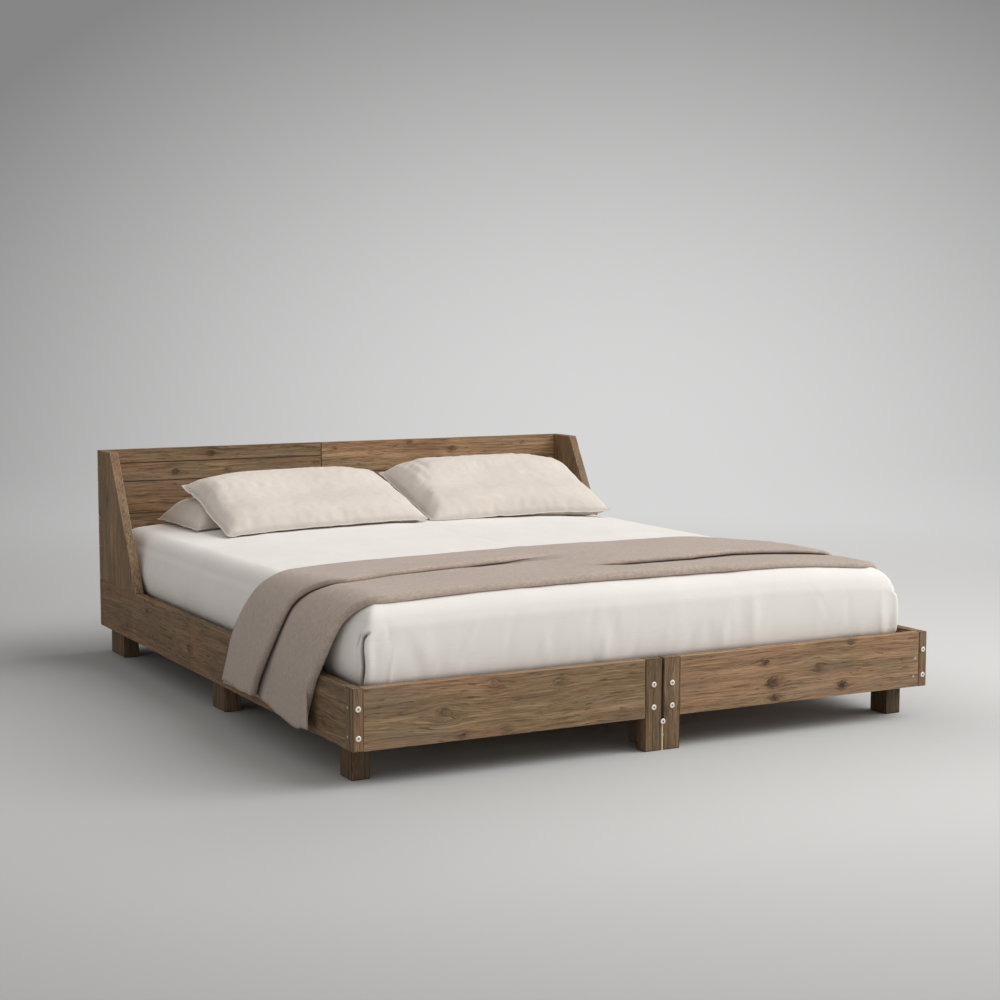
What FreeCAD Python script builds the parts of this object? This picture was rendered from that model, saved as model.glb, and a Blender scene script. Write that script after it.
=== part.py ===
import FreeCAD, Part
import math
import os

# Rustic platform bed. Two half frames of weathered boards are bolted together at a middle seam. A low
# plank headboard with tapered wings stands on the head end. Slats carry a mattress pair under one fitted
# sheet, with four pillows and a folded throw.
#
# Millimetres, +Z up. X runs across the bed, the foot end is towards -Y and the head end towards +Y. The
# origin is on the floor, below the centre of the woodwork.

# Mattress pair, which sets the frame's size
mattress_width = 800.0          # each of the two
mattress_length = 2000.0
mattress_height = 252.0         # at the middle of the pair
mattress_bulge = 10.0
mattress_side_gap = 32.0        # fullest part of the mattress to the side rail
mattress_end_gap = 7.0          # and to the foot rail and headboard

# Frame
floor_gap = 88.0                # floor to the underside of the rails
rail_height = 154.0
board_thickness = 28.0          # rails, planks and wings
arris = 1.5                     # easing of every board's edges
arris_limit_share = 0.25        # no easing is wider than this share of a board's thickness

# Headboard
plank_height = 107.0
plank_rows = 4                  # rows above the head rails
top_joint_offset = 85.0         # butt joint of the top row, left of the middle
top_strip_height = 46.0         # the upper of the two narrow strips left of that joint
wing_foot_length = 365.0        # along the side rail, from the planks' front
wing_top_length = 115.0
wing_dowel_shares = (0.16, 0.5, 0.84)   # of the wing's foot, from its front
batten_width = 70.0
batten_thickness = 20.0
batten_margin = 16.0            # short of the planks' upper and lower edges
outer_batten_offset = 600.0     # from the middle

# Corners at the foot end
corner_depth = 45.0             # along the bed, strip and post together
corner_strip_depth = 18.0
corner_block_size = 42.0        # square block inside the corner
corner_groove_width = 3.0
corner_groove_depth = 1.2

# Centre posts and what stands behind them
seam_gap = 6.0                  # between the two half frames
post_width = 50.0
post_depth = 40.0
backing_depth = 42.0
backing_floor_gap = 20.0
lath_top = 68.0                 # the lath that fills the seam, from the floor
lath_setback = 1.0              # behind the posts' faces

# Legs
leg_width = 50.0
foot_leg_depth = 70.0
middle_leg_depth = 100.0
head_leg_depth = 140.0
foot_leg_setback = 75.0         # foot face to the foot legs' front
middle_leg_setback = 969.0      # foot face to the middle legs' front

# Bearers and slats
slat_recess = 52.0              # slat tops below the rails' top edge
slat_thickness = 18.0
slat_width = 90.0
slat_count = 13
slat_end_gap = 2.0
cleat_height = 40.0
foot_ledger_depth = 42.0
beam_height = 84.0
spacer_length = 60.0            # along the beams
beam_bolt_shares = (0.1, 0.5, 0.9)      # of the beams' length

# Fasteners
bolt_radius = 3.0
bolt_head_radius = 7.5
bolt_head_thickness = 2.5
bolt_head_easing = 0.8
bolt_socket_radius = 2.6        # across the corners of the six-sided socket
bolt_socket_depth = 1.8
dowel_radius = 5.0
dowel_length = 60.0
barrel_radius = 4.0
barrel_length = 20.0
barrel_margin = 2.0             # bolt end beyond its barrel nut
corner_bolt_low = 33.0          # above the rails' underside
corner_bolt_high = 104.0
corner_barrel_setback = 32.0    # behind the foot face
post_bolt_low = 27.5            # above the rails' underside
post_bolt_high = 87.0
post_barrel_depth = 21.0        # into the backing block
seam_bolt_height = 76.0
seam_screw_height = 40.0
seam_screw_length = 50.0
screw_radius = 1.8
screw_head_radius = 3.6
screw_head_height = 2.2
rail_screw_length = 55.0
rail_screw_low = 30.0           # above the rails' underside
rail_screw_high = 81.0
rail_screw_low_inset = 17.0     # from the foot rail's outer end
rail_screw_high_inset = 12.0
slat_screw_length = 40.0
slat_screw_inset = 25.0         # from the slat's ends
headboard_screw_length = 42.0
headboard_screw_inset = 22.0    # from the batten's edges
wing_screw_length = 60.0
frame_screw_length = 70.0
frame_screw_inset = 18.0        # from a leg's front and back
frame_screw_rise = 10.0         # above a cleat's underside
cleat_screw_count = 4
block_screw_height = 52.0       # above the rails' underside
beam_bolt_radius = 4.0
beam_bolt_head_radius = 7.5     # across the corners
beam_bolt_head_height = 5.5
beam_washer_radius = 10.0
beam_washer_thickness = 1.6

# Clearances and overrun
hole_clearance = 0.2            # round a shank or dowel
fit_clearance = 0.2             # between a loose wooden piece and its seat
soft_clearance = 0.3            # between a soft piece and its neighbour
overrun = 5.0                   # how far a cutting tool passes the surface

# Mattress pair and fitted sheet
mattress_crown = 16.0
mattress_side_radius = 55.0     # long upper edges
mattress_end_radius = 65.0      # upper edges at the foot and the head
mattress_end_rise = 1.5         # top of those edges' roll above the crown
mattress_corner_radius = 60.0   # upright corners
mattress_seam_radius = 28.0     # inner upper edges, where the pair meets
mattress_offset = -10.0         # the pair lies a little to the left
sheet_thickness = 1.5
sheet_tuck = 90.0               # hem under the mattresses

# Throw
throw_width = 670.0             # across its two strips, where it lies flat
throw_front_setback = 104.0     # foot face to its front edge
throw_hem_height = 102.0        # lower edge above the floor
throw_layer = 6.0               # thickness along its rear edge
throw_roll = 17.0               # thickness at the two rounded front folds
throw_step = 7.0                # height of the front strip where the rear strip ends
throw_lean = 190.0              # how far the left hem lies towards the head
throw_right_lean = 45.0
shoulder_steps = 4
crown_steps = 6

# Share of the width and of the lean, and place of the middle fold, from the left hem over the bed to the right hem
throw_hem_shares = (0.92, 1.0, 0.55)
throw_rail_shares = (0.93, 0.52, 0.52)
throw_left_shares = (0.86, 0.0, 0.51)
throw_middle_shares = (1.0, 0.0, 0.45)
throw_right_shares = (0.95, 0.0, 0.36)

# Pillows
pillow_width = 724.0
pillow_depth = 480.0
back_pillow_depth = 402.0       # pressed between headboard and front pillow
pillow_edge = 6.0               # thickness of the sewn edge
pillow_draw = 16.0              # how far the sides pull in between the corners
pillow_belly = 21.0             # fullness below the sewn edge
front_pillow_crown = 84.0       # fullness above it
back_pillow_left_crown = 54.0
back_pillow_right_crown = 78.0
back_pillow_left_x = -352.0     # middle, across the bed
back_pillow_right_x = 450.0
front_pillow_left_x = -288.0
front_pillow_right_x = 438.0
back_pillow_wall_gap = 6.0      # sewn edge to the headboard
front_pillow_reach = 606.0      # headboard to the front pillows' lower edge
pillow_start_height = 380.0     # above the slats, where settling starts
front_pillow_start_lean = 40.0  # degrees
settle_steps = 30
settle_tolerance = 0.1

# Stations of a pillow's cross-section along its half width, and how full it is there
pillow_station_shares = (0.0, 0.3, 0.58, 0.8, 0.94, 1.0)
pillow_fullness_shares = (1.0, 0.98, 0.86, 0.6, 0.24, 0.05)

# Derived places
inner_x = mattress_width + mattress_bulge + mattress_side_gap
half_width = inner_x + board_thickness
bed_length = mattress_length + 2 * (mattress_bulge + mattress_end_gap + board_thickness)
woodwork_depth = bolt_head_thickness + bed_length + batten_thickness
foot_y = bolt_head_thickness - woodwork_depth / 2
head_y = foot_y + bed_length
plank_y = head_y - board_thickness
rail_top = floor_gap + rail_height
head_top = rail_top + plank_rows * plank_height
slat_top = rail_top - slat_recess
bearer_top = slat_top - slat_thickness
cleat_bottom = bearer_top - cleat_height
seam_x = seam_gap / 2
post_x = seam_x + post_width
post_back = foot_y + post_depth
backing_back = post_back + backing_depth
corner_back = foot_y + corner_depth
rail_back = foot_y + board_thickness
block_back = rail_back + corner_block_size
cleat_x = inner_x - leg_width
block_x = inner_x - corner_block_size
beam_x = seam_x + post_width / 2
barrel_y = post_back + post_barrel_depth
beam_bottom = bearer_top - beam_height
strip_low = head_top - top_strip_height
middle_leg_y = foot_y + middle_leg_setback
head_leg_y = plank_y - head_leg_depth
sheet_bottom = slat_top + soft_clearance
mattress_bottom = sheet_bottom + sheet_thickness + soft_clearance
cavity_y = (rail_back + plank_y) / 2

V = FreeCAD.Vector
ACROSS = V(1, 0, 0)
ALONG = V(0, 1, 0)
UP = V(0, 0, 1)


# Wood

def board(x0, x1, y0, y1, z0, z1):
    """A planed board between two corners, with all its edges eased."""
    sides = (x1 - x0, y1 - y0, z1 - z0)
    box = Part.makeBox(*sides, V(x0, y0, z0))
    return box.makeFillet(min(arris, arris_limit_share * min(sides)), box.Edges)


def mirrored(shape):
    """The same piece on the other side of the bed."""
    return shape.mirror(V(0, 0, 0), ACROSS)


def drilled(shape, tools):
    """A piece with the holes cut that reach it."""
    near = [tool for tool in tools if tool.BoundBox.intersect(shape.BoundBox)]
    return shape.cut(near) if near else shape


def pair(name, left, tools=()):
    """A piece and its mirror image, under left and right names, both with their holes cut."""
    return {name + "_left": drilled(left, tools), name + "_right": drilled(mirrored(left), tools)}


# Fasteners

def rod(radius, length, seat, direction):
    """A plain round bar from a point along a direction."""
    return Part.makeCylinder(radius, length, seat, direction)


def prism(radius, length, seat, direction):
    """A six-sided bar from a point along a direction."""
    corners = [V(radius * math.cos(math.radians(a)), radius * math.sin(math.radians(a)), 0)
               for a in range(0, 361, 60)]
    bar = Part.Face(Part.makePolygon(corners)).extrude(UP * length)
    bar.Placement = FreeCAD.Placement(seat, FreeCAD.Rotation(UP, direction))
    return bar


def bolt_hole(seat, direction, length):
    """The clearance hole of a bolt, open towards its head."""
    return rod(bolt_radius + hole_clearance, length + overrun, seat - direction * overrun, direction)


def connector_bolt(seat, direction, length):
    """A flat-headed bolt with a six-sided socket. The head's underside is at the seat."""
    head = rod(bolt_head_radius, bolt_head_thickness, seat - direction * bolt_head_thickness, direction)
    rim = [e for e in head.Edges if e.CenterOfMass.sub(seat).Length > bolt_head_thickness / 2 and
           e.Length > bolt_head_radius * 2]
    head = head.makeFillet(bolt_head_easing, rim)
    mouth = seat - direction * (bolt_head_thickness + overrun)
    socket = prism(bolt_socket_radius, overrun + bolt_socket_depth, mouth, direction)
    return head.fuse(rod(bolt_radius, length, seat, direction)).cut(socket)


def barrel_nut(mouth, direction, depth, bolt):
    """A barrel nut at the bottom of its hole, threaded on a bolt."""
    start = mouth + direction * (depth - barrel_length)
    return rod(barrel_radius, barrel_length, start, direction).cut(bolt_hole(*bolt))


def barrel_hole(mouth, direction, depth, bolt):
    """The hole that takes a barrel nut, open at its mouth."""
    return rod(barrel_radius + hole_clearance, overrun + depth, mouth - direction * overrun, direction)


def screw(seat, direction, length):
    """A countersunk screw whose head is flush at the seat."""
    head = Part.makeCone(screw_head_radius, screw_radius, screw_head_height, seat, direction)
    return head.fuse(rod(screw_radius, length, seat, direction))


def screw_hole(seat, direction, length):
    """The hole of a countersunk screw."""
    mouth = seat - direction * hole_clearance
    head = Part.makeCone(screw_head_radius + hole_clearance, screw_radius + hole_clearance,
                         screw_head_height + hole_clearance, mouth, direction)
    entry = rod(screw_head_radius + hole_clearance, overrun, mouth - direction * overrun, direction)
    shank = rod(screw_radius + hole_clearance, length + hole_clearance, seat, direction)
    return head.fuse([entry, shank])


def mirrored_places(places):
    """The same fasteners on the other side of the bed."""
    return [(V(-seat.x, seat.y, seat.z), V(-way.x, way.y, way.z), length) for seat, way, length in places]


def both_sides(places):
    return places + mirrored_places(places)


def bolt_places():
    """Seat, direction and length of the bolts in corners, centre posts and seam."""
    corner_length = corner_barrel_setback + barrel_radius + barrel_margin
    post_length = post_depth + post_barrel_depth + barrel_radius + barrel_margin
    corner = [(V(-half_width + board_thickness / 2, foot_y, floor_gap + rise), ALONG, corner_length)
              for rise in (corner_bolt_low, corner_bolt_high)]
    post = [(V(-beam_x, foot_y, floor_gap + rise), ALONG, post_length)
            for rise in (post_bolt_low, post_bolt_high)]
    return both_sides(corner), both_sides(post), [(V(0, foot_y, seam_bolt_height), ALONG, post_length)]


def barrel_places():
    """Mouth, direction and depth of each barrel nut's hole, with its bolt."""
    corner, post, seam = bolt_places()
    places = []
    for bolt in corner:
        side = math.copysign(1, bolt[0].x)
        mouth = V(side * half_width, foot_y + corner_barrel_setback, bolt[0].z)
        places.append((mouth, -ACROSS * side, barrel_length, bolt))
    for bolt in post:
        side = math.copysign(1, bolt[0].x)
        mouth = V(side * post_x, barrel_y, bolt[0].z)
        places.append((mouth, -ACROSS * side, (post_width + barrel_length) / 2, bolt))
    rise = seam_bolt_height + barrel_length / 2 - backing_floor_gap
    places.append((V(0, barrel_y, backing_floor_gap), UP, rise, seam[0]))
    return places


def rail_screws():
    """Screws between foot rails and corner blocks, from the front on the right and from inside on the left."""
    places = []
    for inset, rise in ((rail_screw_low_inset, rail_screw_low), (rail_screw_high_inset, rail_screw_high)):
        x = inner_x - inset
        z = floor_gap + rise
        places.append((V(x, foot_y, z), ALONG, rail_screw_length))
        places.append((V(-x, block_back, z), -ALONG, rail_screw_length))
    return places + [(V(0, foot_y + lath_setback, seam_screw_height), ALONG, seam_screw_length)]


def slat_rows():
    """Front edges of the slats, evenly spaced from the backing block to the head rails."""
    first = backing_back + slat_end_gap
    last = plank_y - slat_end_gap - slat_width
    return [first + (last - first) * i / (slat_count - 1) for i in range(slat_count)]


def slat_screws():
    """Screws through both ends of every slat."""
    outer = -(inner_x - slat_end_gap - slat_screw_inset)
    inner = -(seam_x + slat_end_gap + slat_screw_inset)
    return both_sides([(V(x, y + slat_width / 2, slat_top), -UP, slat_screw_length)
                       for y in slat_rows() for x in (outer, inner)])


def batten_middles():
    """Places of the three battens. The middle one backs the top row's butt joint."""
    return (-outer_batten_offset, -top_joint_offset, outer_batten_offset)


def row_middles(x):
    """Middle heights of the boards at a place across the headboard."""
    rows = [floor_gap + rail_height / 2] + [rail_top + plank_height * (i + 0.5) for i in range(plank_rows)]
    if x < -top_joint_offset:
        rows[-1:] = [(head_top - plank_height + strip_low) / 2, (strip_low + head_top) / 2]
    return rows


def headboard_screws():
    """Screws from the battens into the planks, and from the planks into wings and side rails."""
    reach = batten_width / 2 - headboard_screw_inset
    places = []
    for x in [middle + dx for middle in batten_middles() for dx in (-reach, reach)]:
        places += [(V(x, head_y + batten_thickness, z), -ALONG, headboard_screw_length) for z in row_middles(x)]
    for x in (-half_width + board_thickness / 2, half_width - board_thickness / 2):
        places += [(V(x, head_y, z), -ALONG, wing_screw_length) for z in row_middles(x)]
    return places


def leg_spans():
    """Front and back of the foot, middle and head legs."""
    return {"foot": (foot_y + foot_leg_setback, foot_y + foot_leg_setback + foot_leg_depth),
            "middle": (middle_leg_y, middle_leg_y + middle_leg_depth),
            "head": (head_leg_y, plank_y)}


def frame_screws():
    """Screws through legs, cleats, ledgers and corner blocks into the rails, and through the head rails."""
    leg_z = (floor_gap + cleat_bottom) / 2
    cleat_z = cleat_bottom + frame_screw_rise
    ledger_z = slat_top - cleat_height + frame_screw_rise
    block_length = corner_block_size + board_thickness / 2
    ledger_length = foot_ledger_depth + board_thickness / 2
    places = [(V(-cleat_x, y, leg_z), -ACROSS, frame_screw_length) for front, back in leg_spans().values()
              for y in (front + frame_screw_inset, back - frame_screw_inset)]
    for y in ((rail_back + corner_back) / 2, (corner_back + block_back) / 2):
        places.append((V(-block_x, y, floor_gap + block_screw_height), -ACROSS, block_length))
    for i in range(cleat_screw_count):
        share = (i + 0.5) / cleat_screw_count
        cleat_y = block_back + share * (plank_y - block_back)
        places.append((V(-cleat_x, cleat_y, cleat_z), -ACROSS, frame_screw_length))
        ledger_x = -post_x - share * (block_x - post_x)
        places.append((V(ledger_x, rail_back + foot_ledger_depth, ledger_z), -ALONG, ledger_length))
    places.append((V(-beam_x, head_y, (beam_bottom + bearer_top) / 2), -ALONG, frame_screw_length))
    return both_sides(places)


def dowel_places():
    """Middles of the dowels between wings and side rails, and between centre legs and beams."""
    left = [V(-half_width + board_thickness / 2, plank_y - wing_foot_length * (1 - share), rail_top)
            for share in wing_dowel_shares]
    spans = leg_spans()
    left += [V(-beam_x, sum(spans[name]) / 2, beam_bottom) for name in ("middle", "head")]
    return left + [V(-p.x, p.y, p.z) for p in left]


def beam_bolt_seats():
    """Left ends of the cross bolts through both centre beams."""
    return [V(-post_x, backing_back + share * (plank_y - backing_back), (beam_bottom + bearer_top) / 2)
            for share in beam_bolt_shares]


def beam_bolt_parts():
    """Cross bolts with their washers and nuts, each a solid of its own."""
    parts = []
    for face in beam_bolt_seats():
        far_face = face + ACROSS * 2 * post_x
        seat = face - ACROSS * beam_washer_thickness
        nut_seat = far_face + ACROSS * beam_washer_thickness
        reach = nut_seat.x - seat.x + beam_bolt_head_height + barrel_margin
        bore = rod(beam_bolt_radius + hole_clearance, reach + overrun, seat - ACROSS * overrun, ACROSS)
        head = prism(beam_bolt_head_radius, beam_bolt_head_height, seat, -ACROSS)
        parts.append(head.fuse(rod(beam_bolt_radius, reach, seat, ACROSS)))
        parts.append(rod(beam_washer_radius, beam_washer_thickness, seat, ACROSS).cut(bore))
        parts.append(rod(beam_washer_radius, beam_washer_thickness, far_face, ACROSS).cut(bore))
        parts.append(prism(beam_bolt_head_radius, beam_bolt_head_height, nut_seat, ACROSS).cut(bore))
    return parts


def all_holes():
    """Every hole in the woodwork, grouped by its fastener."""
    dowel_half = dowel_length / 2 + hole_clearance
    return {"bolt": [bolt_hole(*bolt) for group in bolt_places() for bolt in group],
            "barrel": [barrel_hole(*place) for place in barrel_places()],
            "rail": [screw_hole(*place) for place in rail_screws()],
            "slat": [screw_hole(*place) for place in slat_screws()],
            "head": [screw_hole(*place) for place in headboard_screws()],
            "frame": [screw_hole(*place) for place in frame_screws()],
            "dowel": [rod(dowel_radius + hole_clearance, 2 * dowel_half, p - UP * dowel_half, UP)
                      for p in dowel_places()],
            "beam": [rod(beam_bolt_radius + hole_clearance, 2 * (post_x + overrun), p - ACROSS * overrun, ACROSS)
                     for p in beam_bolt_seats()]}


def fasteners():
    """All bolts, nuts, screws and dowels, grouped by kind."""
    corner, post, seam = bolt_places()
    dowels = [rod(dowel_radius, dowel_length, p - UP * dowel_length / 2, UP) for p in dowel_places()]
    groups = {"connector_bolts": [connector_bolt(*bolt) for bolt in corner + post + seam],
              "barrel_nuts": [barrel_nut(*place) for place in barrel_places()],
              "rail_screws": [screw(*place) for place in rail_screws()],
              "slat_screws": [screw(*place) for place in slat_screws()],
              "headboard_screws": [screw(*place) for place in headboard_screws()],
              "frame_screws": [screw(*place) for place in frame_screws()],
              "beam_bolts": beam_bolt_parts(),
              "dowels": dowels}
    return {name: Part.makeCompound(solids) for name, solids in groups.items()}


# Foot end and rails

def corner_pieces(holes):
    """The bolted strip and post that close each foot corner."""
    split = foot_y + corner_strip_depth
    strip = board(-half_width, -inner_x, foot_y, split, floor_gap, rail_top)
    post = board(-half_width, -inner_x, split, corner_back, floor_gap, rail_top)
    groove = Part.makeBox(overrun + corner_groove_depth, corner_groove_width, rail_height + 2 * overrun,
                          V(-half_width - overrun, split + corner_groove_width, floor_gap - overrun))
    return {**pair("corner_strip", strip, holes["bolt"]),
            **pair("corner_post", post.cut(groove), holes["bolt"] + holes["barrel"] + holes["frame"])}


def rails(holes):
    """Two boards across the foot end, and one along each side."""
    foot = board(-inner_x, -post_x, foot_y, rail_back, floor_gap, rail_top)
    side = board(-half_width, -inner_x, corner_back, plank_y, floor_gap, rail_top)
    return {**pair("foot_rail", foot, holes["rail"] + holes["frame"]),
            **pair("side_rail", side, holes["frame"] + holes["head"] + holes["dowel"])}


def centre_posts(holes):
    """One post on each half frame, notched above the slats to clear the mattress."""
    left = board(-post_x, -seam_x, foot_y, post_back, 0, rail_top)
    notch = Part.makeBox(post_width + 2 * overrun, post_depth - board_thickness + overrun,
                         slat_recess + overrun, V(-post_x - overrun, rail_back, slat_top))
    return pair("centre_post", left.cut(notch), holes["bolt"] + holes["rail"])


def seam_pieces(holes):
    """The block that bridges both posts from behind, and the fillers of the seam."""
    side = seam_x - fit_clearance
    reach = spacer_length / 2
    block = board(-post_x, post_x, post_back, backing_back, backing_floor_gap, slat_top)
    lath = board(-side, side, foot_y + lath_setback, post_back - fit_clearance, 0, lath_top)
    laths = [drilled(lath, holes["rail"])]
    for seat in beam_bolt_seats():
        spacer = board(-side, side, seat.y - reach, seat.y + reach, beam_bottom, bearer_top)
        laths.append(drilled(spacer, holes["beam"]))
    return {"seam_backing_block": drilled(block, holes["bolt"] + holes["barrel"] + holes["rail"]),
            "seam_laths": Part.makeCompound(laths)}


# Head end

def headboard(holes):
    """Head rails, full-width planks, and a top row of two strips and one wide plank."""
    joint_x = -top_joint_offset
    pieces = pair("head_rail", board(-half_width, 0, plank_y, head_y, floor_gap, rail_top),
                  holes["head"] + holes["frame"])
    spans = {"strip_lower": (-half_width, joint_x, head_top - plank_height, strip_low),
             "strip_upper": (-half_width, joint_x, strip_low, head_top),
             "plank_top_right": (joint_x, half_width, head_top - plank_height, head_top)}
    for i, name in enumerate(("low", "middle", "high")[:plank_rows - 1]):
        low = rail_top + i * plank_height
        spans["plank_" + name] = (-half_width, half_width, low, low + plank_height)
    for name, (x0, x1, z0, z1) in spans.items():
        pieces["headboard_" + name] = drilled(board(x0, x1, plank_y, head_y, z0, z1), holes["head"])
    for name, x in zip(("left", "middle", "right"), batten_middles()):
        batten = board(x - batten_width / 2, x + batten_width / 2, head_y, head_y + batten_thickness,
                       floor_gap + batten_margin, head_top - batten_margin)
        pieces["headboard_batten_" + name] = drilled(batten, holes["head"])
    return pieces


def wings(holes):
    """Tapered boards that stand on the side rails in front of the planks."""
    outline = [V(-half_width, plank_y - wing_foot_length, rail_top), V(-half_width, plank_y, rail_top),
               V(-half_width, plank_y, head_top), V(-half_width, plank_y - wing_top_length, head_top)]
    solid = Part.Face(Part.makePolygon(outline + outline[:1])).extrude(ACROSS * board_thickness)
    return pair("wing", solid.makeFillet(arris, solid.Edges), holes["dowel"] + holes["head"])


# Legs, bearers and slats

def legs(holes):
    """Three legs inside each side rail, and two under the centre beams."""
    pieces = {}
    for name, (front, back) in leg_spans().items():
        leg = board(-inner_x, -cleat_x, front, back, 0, cleat_bottom)
        pieces.update(pair(name + "_leg", leg, holes["frame"]))
    for name in ("middle", "head"):
        front, back = leg_spans()[name]
        leg = board(-post_x, post_x, front, back, 0, beam_bottom)
        pieces["centre_leg_" + name] = drilled(leg, holes["dowel"])
    return pieces


def bearers(holes):
    """Corner blocks, side cleats, foot ledgers and the two centre beams."""
    block = board(-inner_x, -block_x, rail_back, block_back, floor_gap, slat_top)
    cleat = board(-inner_x, -cleat_x, block_back, plank_y, cleat_bottom, bearer_top)
    ledger = board(-block_x, -post_x, rail_back, rail_back + foot_ledger_depth, slat_top - cleat_height, slat_top)
    beam = board(-post_x, -seam_x, backing_back, plank_y, beam_bottom, bearer_top)
    return {**pair("corner_block", block, holes["rail"] + holes["frame"]),
            **pair("side_cleat", cleat, holes["slat"] + holes["frame"]),
            **pair("foot_ledger", ledger, holes["frame"]),
            **pair("centre_beam", beam, holes["slat"] + holes["beam"] + holes["frame"] + holes["dowel"])}


def slats(holes):
    """One layer of slats on each half frame."""
    group = [board(-inner_x + slat_end_gap, -seam_x - slat_end_gap, y, y + slat_width, bearer_top, slat_top)
             for y in slat_rows()]
    return {"slats_left": Part.makeCompound([drilled(slat, holes["slat"]) for slat in group]),
            "slats_right": Part.makeCompound([drilled(mirrored(slat), holes["slat"]) for slat in group])}


# Mattresses and sheet

def side_profile(half, bulge, radius, height, crown):
    """Upright outline with bulged sides, rounded upper edges and a crowned top. The base is on zero."""
    edge = height - crown
    start = edge - radius
    slack = radius * (1 - math.sqrt(0.5))
    base_left, base_right = V(-half, 0, 0), V(half, 0, 0)
    left, right = V(-half, 0, start), V(half, 0, start)
    top_left, top_right = V(-half + radius, 0, edge), V(half - radius, 0, edge)
    return Part.Wire([
        Part.makeLine(base_left, base_right),
        Part.Arc(base_right, V(half + bulge, 0, start / 2), right).toShape(),
        Part.Arc(right, V(half - slack, 0, edge - slack), top_right).toShape(),
        Part.Arc(top_right, V(0, 0, height), top_left).toShape(),
        Part.Arc(top_left, V(-half + slack, 0, edge - slack), left).toShape(),
        Part.Arc(left, V(-half - bulge, 0, start / 2), base_left).toShape()])


def end_profile(half, bulge, radius, height):
    """The same outline seen from the side, with a level top."""
    start = height - radius
    slack = radius * (1 - math.sqrt(0.5))
    base_front, base_back = V(0, -half, 0), V(0, half, 0)
    front, back = V(0, -half, start), V(0, half, start)
    top_front, top_back = V(0, -half + radius, height), V(0, half - radius, height)
    return Part.Wire([
        Part.makeLine(base_front, base_back),
        Part.Arc(base_back, V(0, half + bulge, start / 2), back).toShape(),
        Part.Arc(back, V(0, half - slack, height - slack), top_back).toShape(),
        Part.makeLine(top_back, top_front),
        Part.Arc(top_front, V(0, -half + slack, height - slack), front).toShape(),
        Part.Arc(front, V(0, -half - bulge, start / 2), base_front).toShape()])


def rounded_plate(half_x, half_y, radius, height):
    """An upright prism with rounded corners, on the base plane."""
    box = Part.makeBox(2 * half_x, 2 * half_y, height, V(-half_x, -half_y, 0))
    upright = [e for e in box.Edges if abs(e.BoundBox.ZLength - height) < abs(e.BoundBox.DiagonalLength) * 1e-6]
    return box.makeFillet(radius, upright)


def mattress_form(grow):
    """The mattress pair in its place, grown evenly on all sides."""
    half_x = mattress_width + grow
    half_y = mattress_length / 2 + grow
    height = mattress_height + 2 * grow
    reach_x = half_x + 2 * mattress_bulge
    reach_y = half_y + 2 * mattress_bulge
    across = Part.Face(side_profile(half_x, mattress_bulge, mattress_side_radius + grow, height, mattress_crown))
    across.translate(-ALONG * reach_y)
    along = Part.Face(end_profile(half_y, mattress_bulge, mattress_end_radius + grow, height + mattress_end_rise))
    along.translate(-ACROSS * reach_x)
    radius = mattress_corner_radius + grow + mattress_bulge / (1 - math.sqrt(0.5))
    plan = rounded_plate(reach_x, reach_y, radius, height + overrun)
    form = across.extrude(ALONG * 2 * reach_y).common(along.extrude(ACROSS * 2 * reach_x)).common(plan)
    form.translate(V(mattress_offset, cavity_y, mattress_bottom - grow))
    return form


def half_slot(side):
    """The space of one mattress of the pair, with its inner upper edge rounded."""
    inner = soft_clearance / 2
    radius = mattress_seam_radius
    slack = radius * (1 - math.sqrt(0.5))
    far = mattress_width + mattress_bulge + overrun
    top = mattress_height
    above = top + overrun
    outline = Part.Wire([
        Part.makeLine(V(inner, 0, -overrun), V(inner, 0, top - radius)),
        Part.Arc(V(inner, 0, top - radius), V(inner + slack, 0, top - slack), V(inner + radius, 0, top)).toShape(),
        Part.makeLine(V(inner + radius, 0, top), V(inner + radius, 0, above)),
        Part.makeLine(V(inner + radius, 0, above), V(far, 0, above)),
        Part.makeLine(V(far, 0, above), V(far, 0, -overrun)),
        Part.makeLine(V(far, 0, -overrun), V(inner, 0, -overrun))])
    reach = mattress_length / 2 + mattress_bulge + overrun
    slot = Part.Face(outline).extrude(ALONG * 2 * reach)
    slot = slot if side > 0 else mirrored(slot)
    slot.translate(V(mattress_offset, cavity_y - reach, mattress_bottom))
    return slot


def mattresses():
    form = mattress_form(0)
    return {"mattress_left": form.common(half_slot(-1)), "mattress_right": form.common(half_slot(1))}


def fitted_sheet():
    """One sheet over both mattresses, tucked under all round."""
    shell = mattress_form(soft_clearance + sheet_thickness).cut(mattress_form(soft_clearance))
    opening = rounded_plate(mattress_width - sheet_tuck, mattress_length / 2 - sheet_tuck, mattress_corner_radius,
                            sheet_thickness + 2 * overrun)
    opening.translate(V(mattress_offset, cavity_y, sheet_bottom - overrun))
    return shell.cut(opening)


# Throw

def corner_path(centre, radius, start, end, steps):
    """Points and outward directions round an arc, set so that the straight runs between them clear the arc."""
    half_step = abs(end - start) / steps / 2
    reach = radius / math.cos(half_step)
    stations = []
    for i in range(steps + 1):
        angle = start + (end - start) * i / steps
        outward = V(math.cos(angle), 0, math.sin(angle))
        stations.append((centre + outward * reach, outward))
    return stations


def leaving_angle(centre, radius, target):
    """The angle on a circle where a straight run to an outer point leaves it."""
    gap = target - centre
    bearing = math.atan2(gap.z, gap.x)
    return bearing, math.acos(radius / gap.Length)


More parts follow.
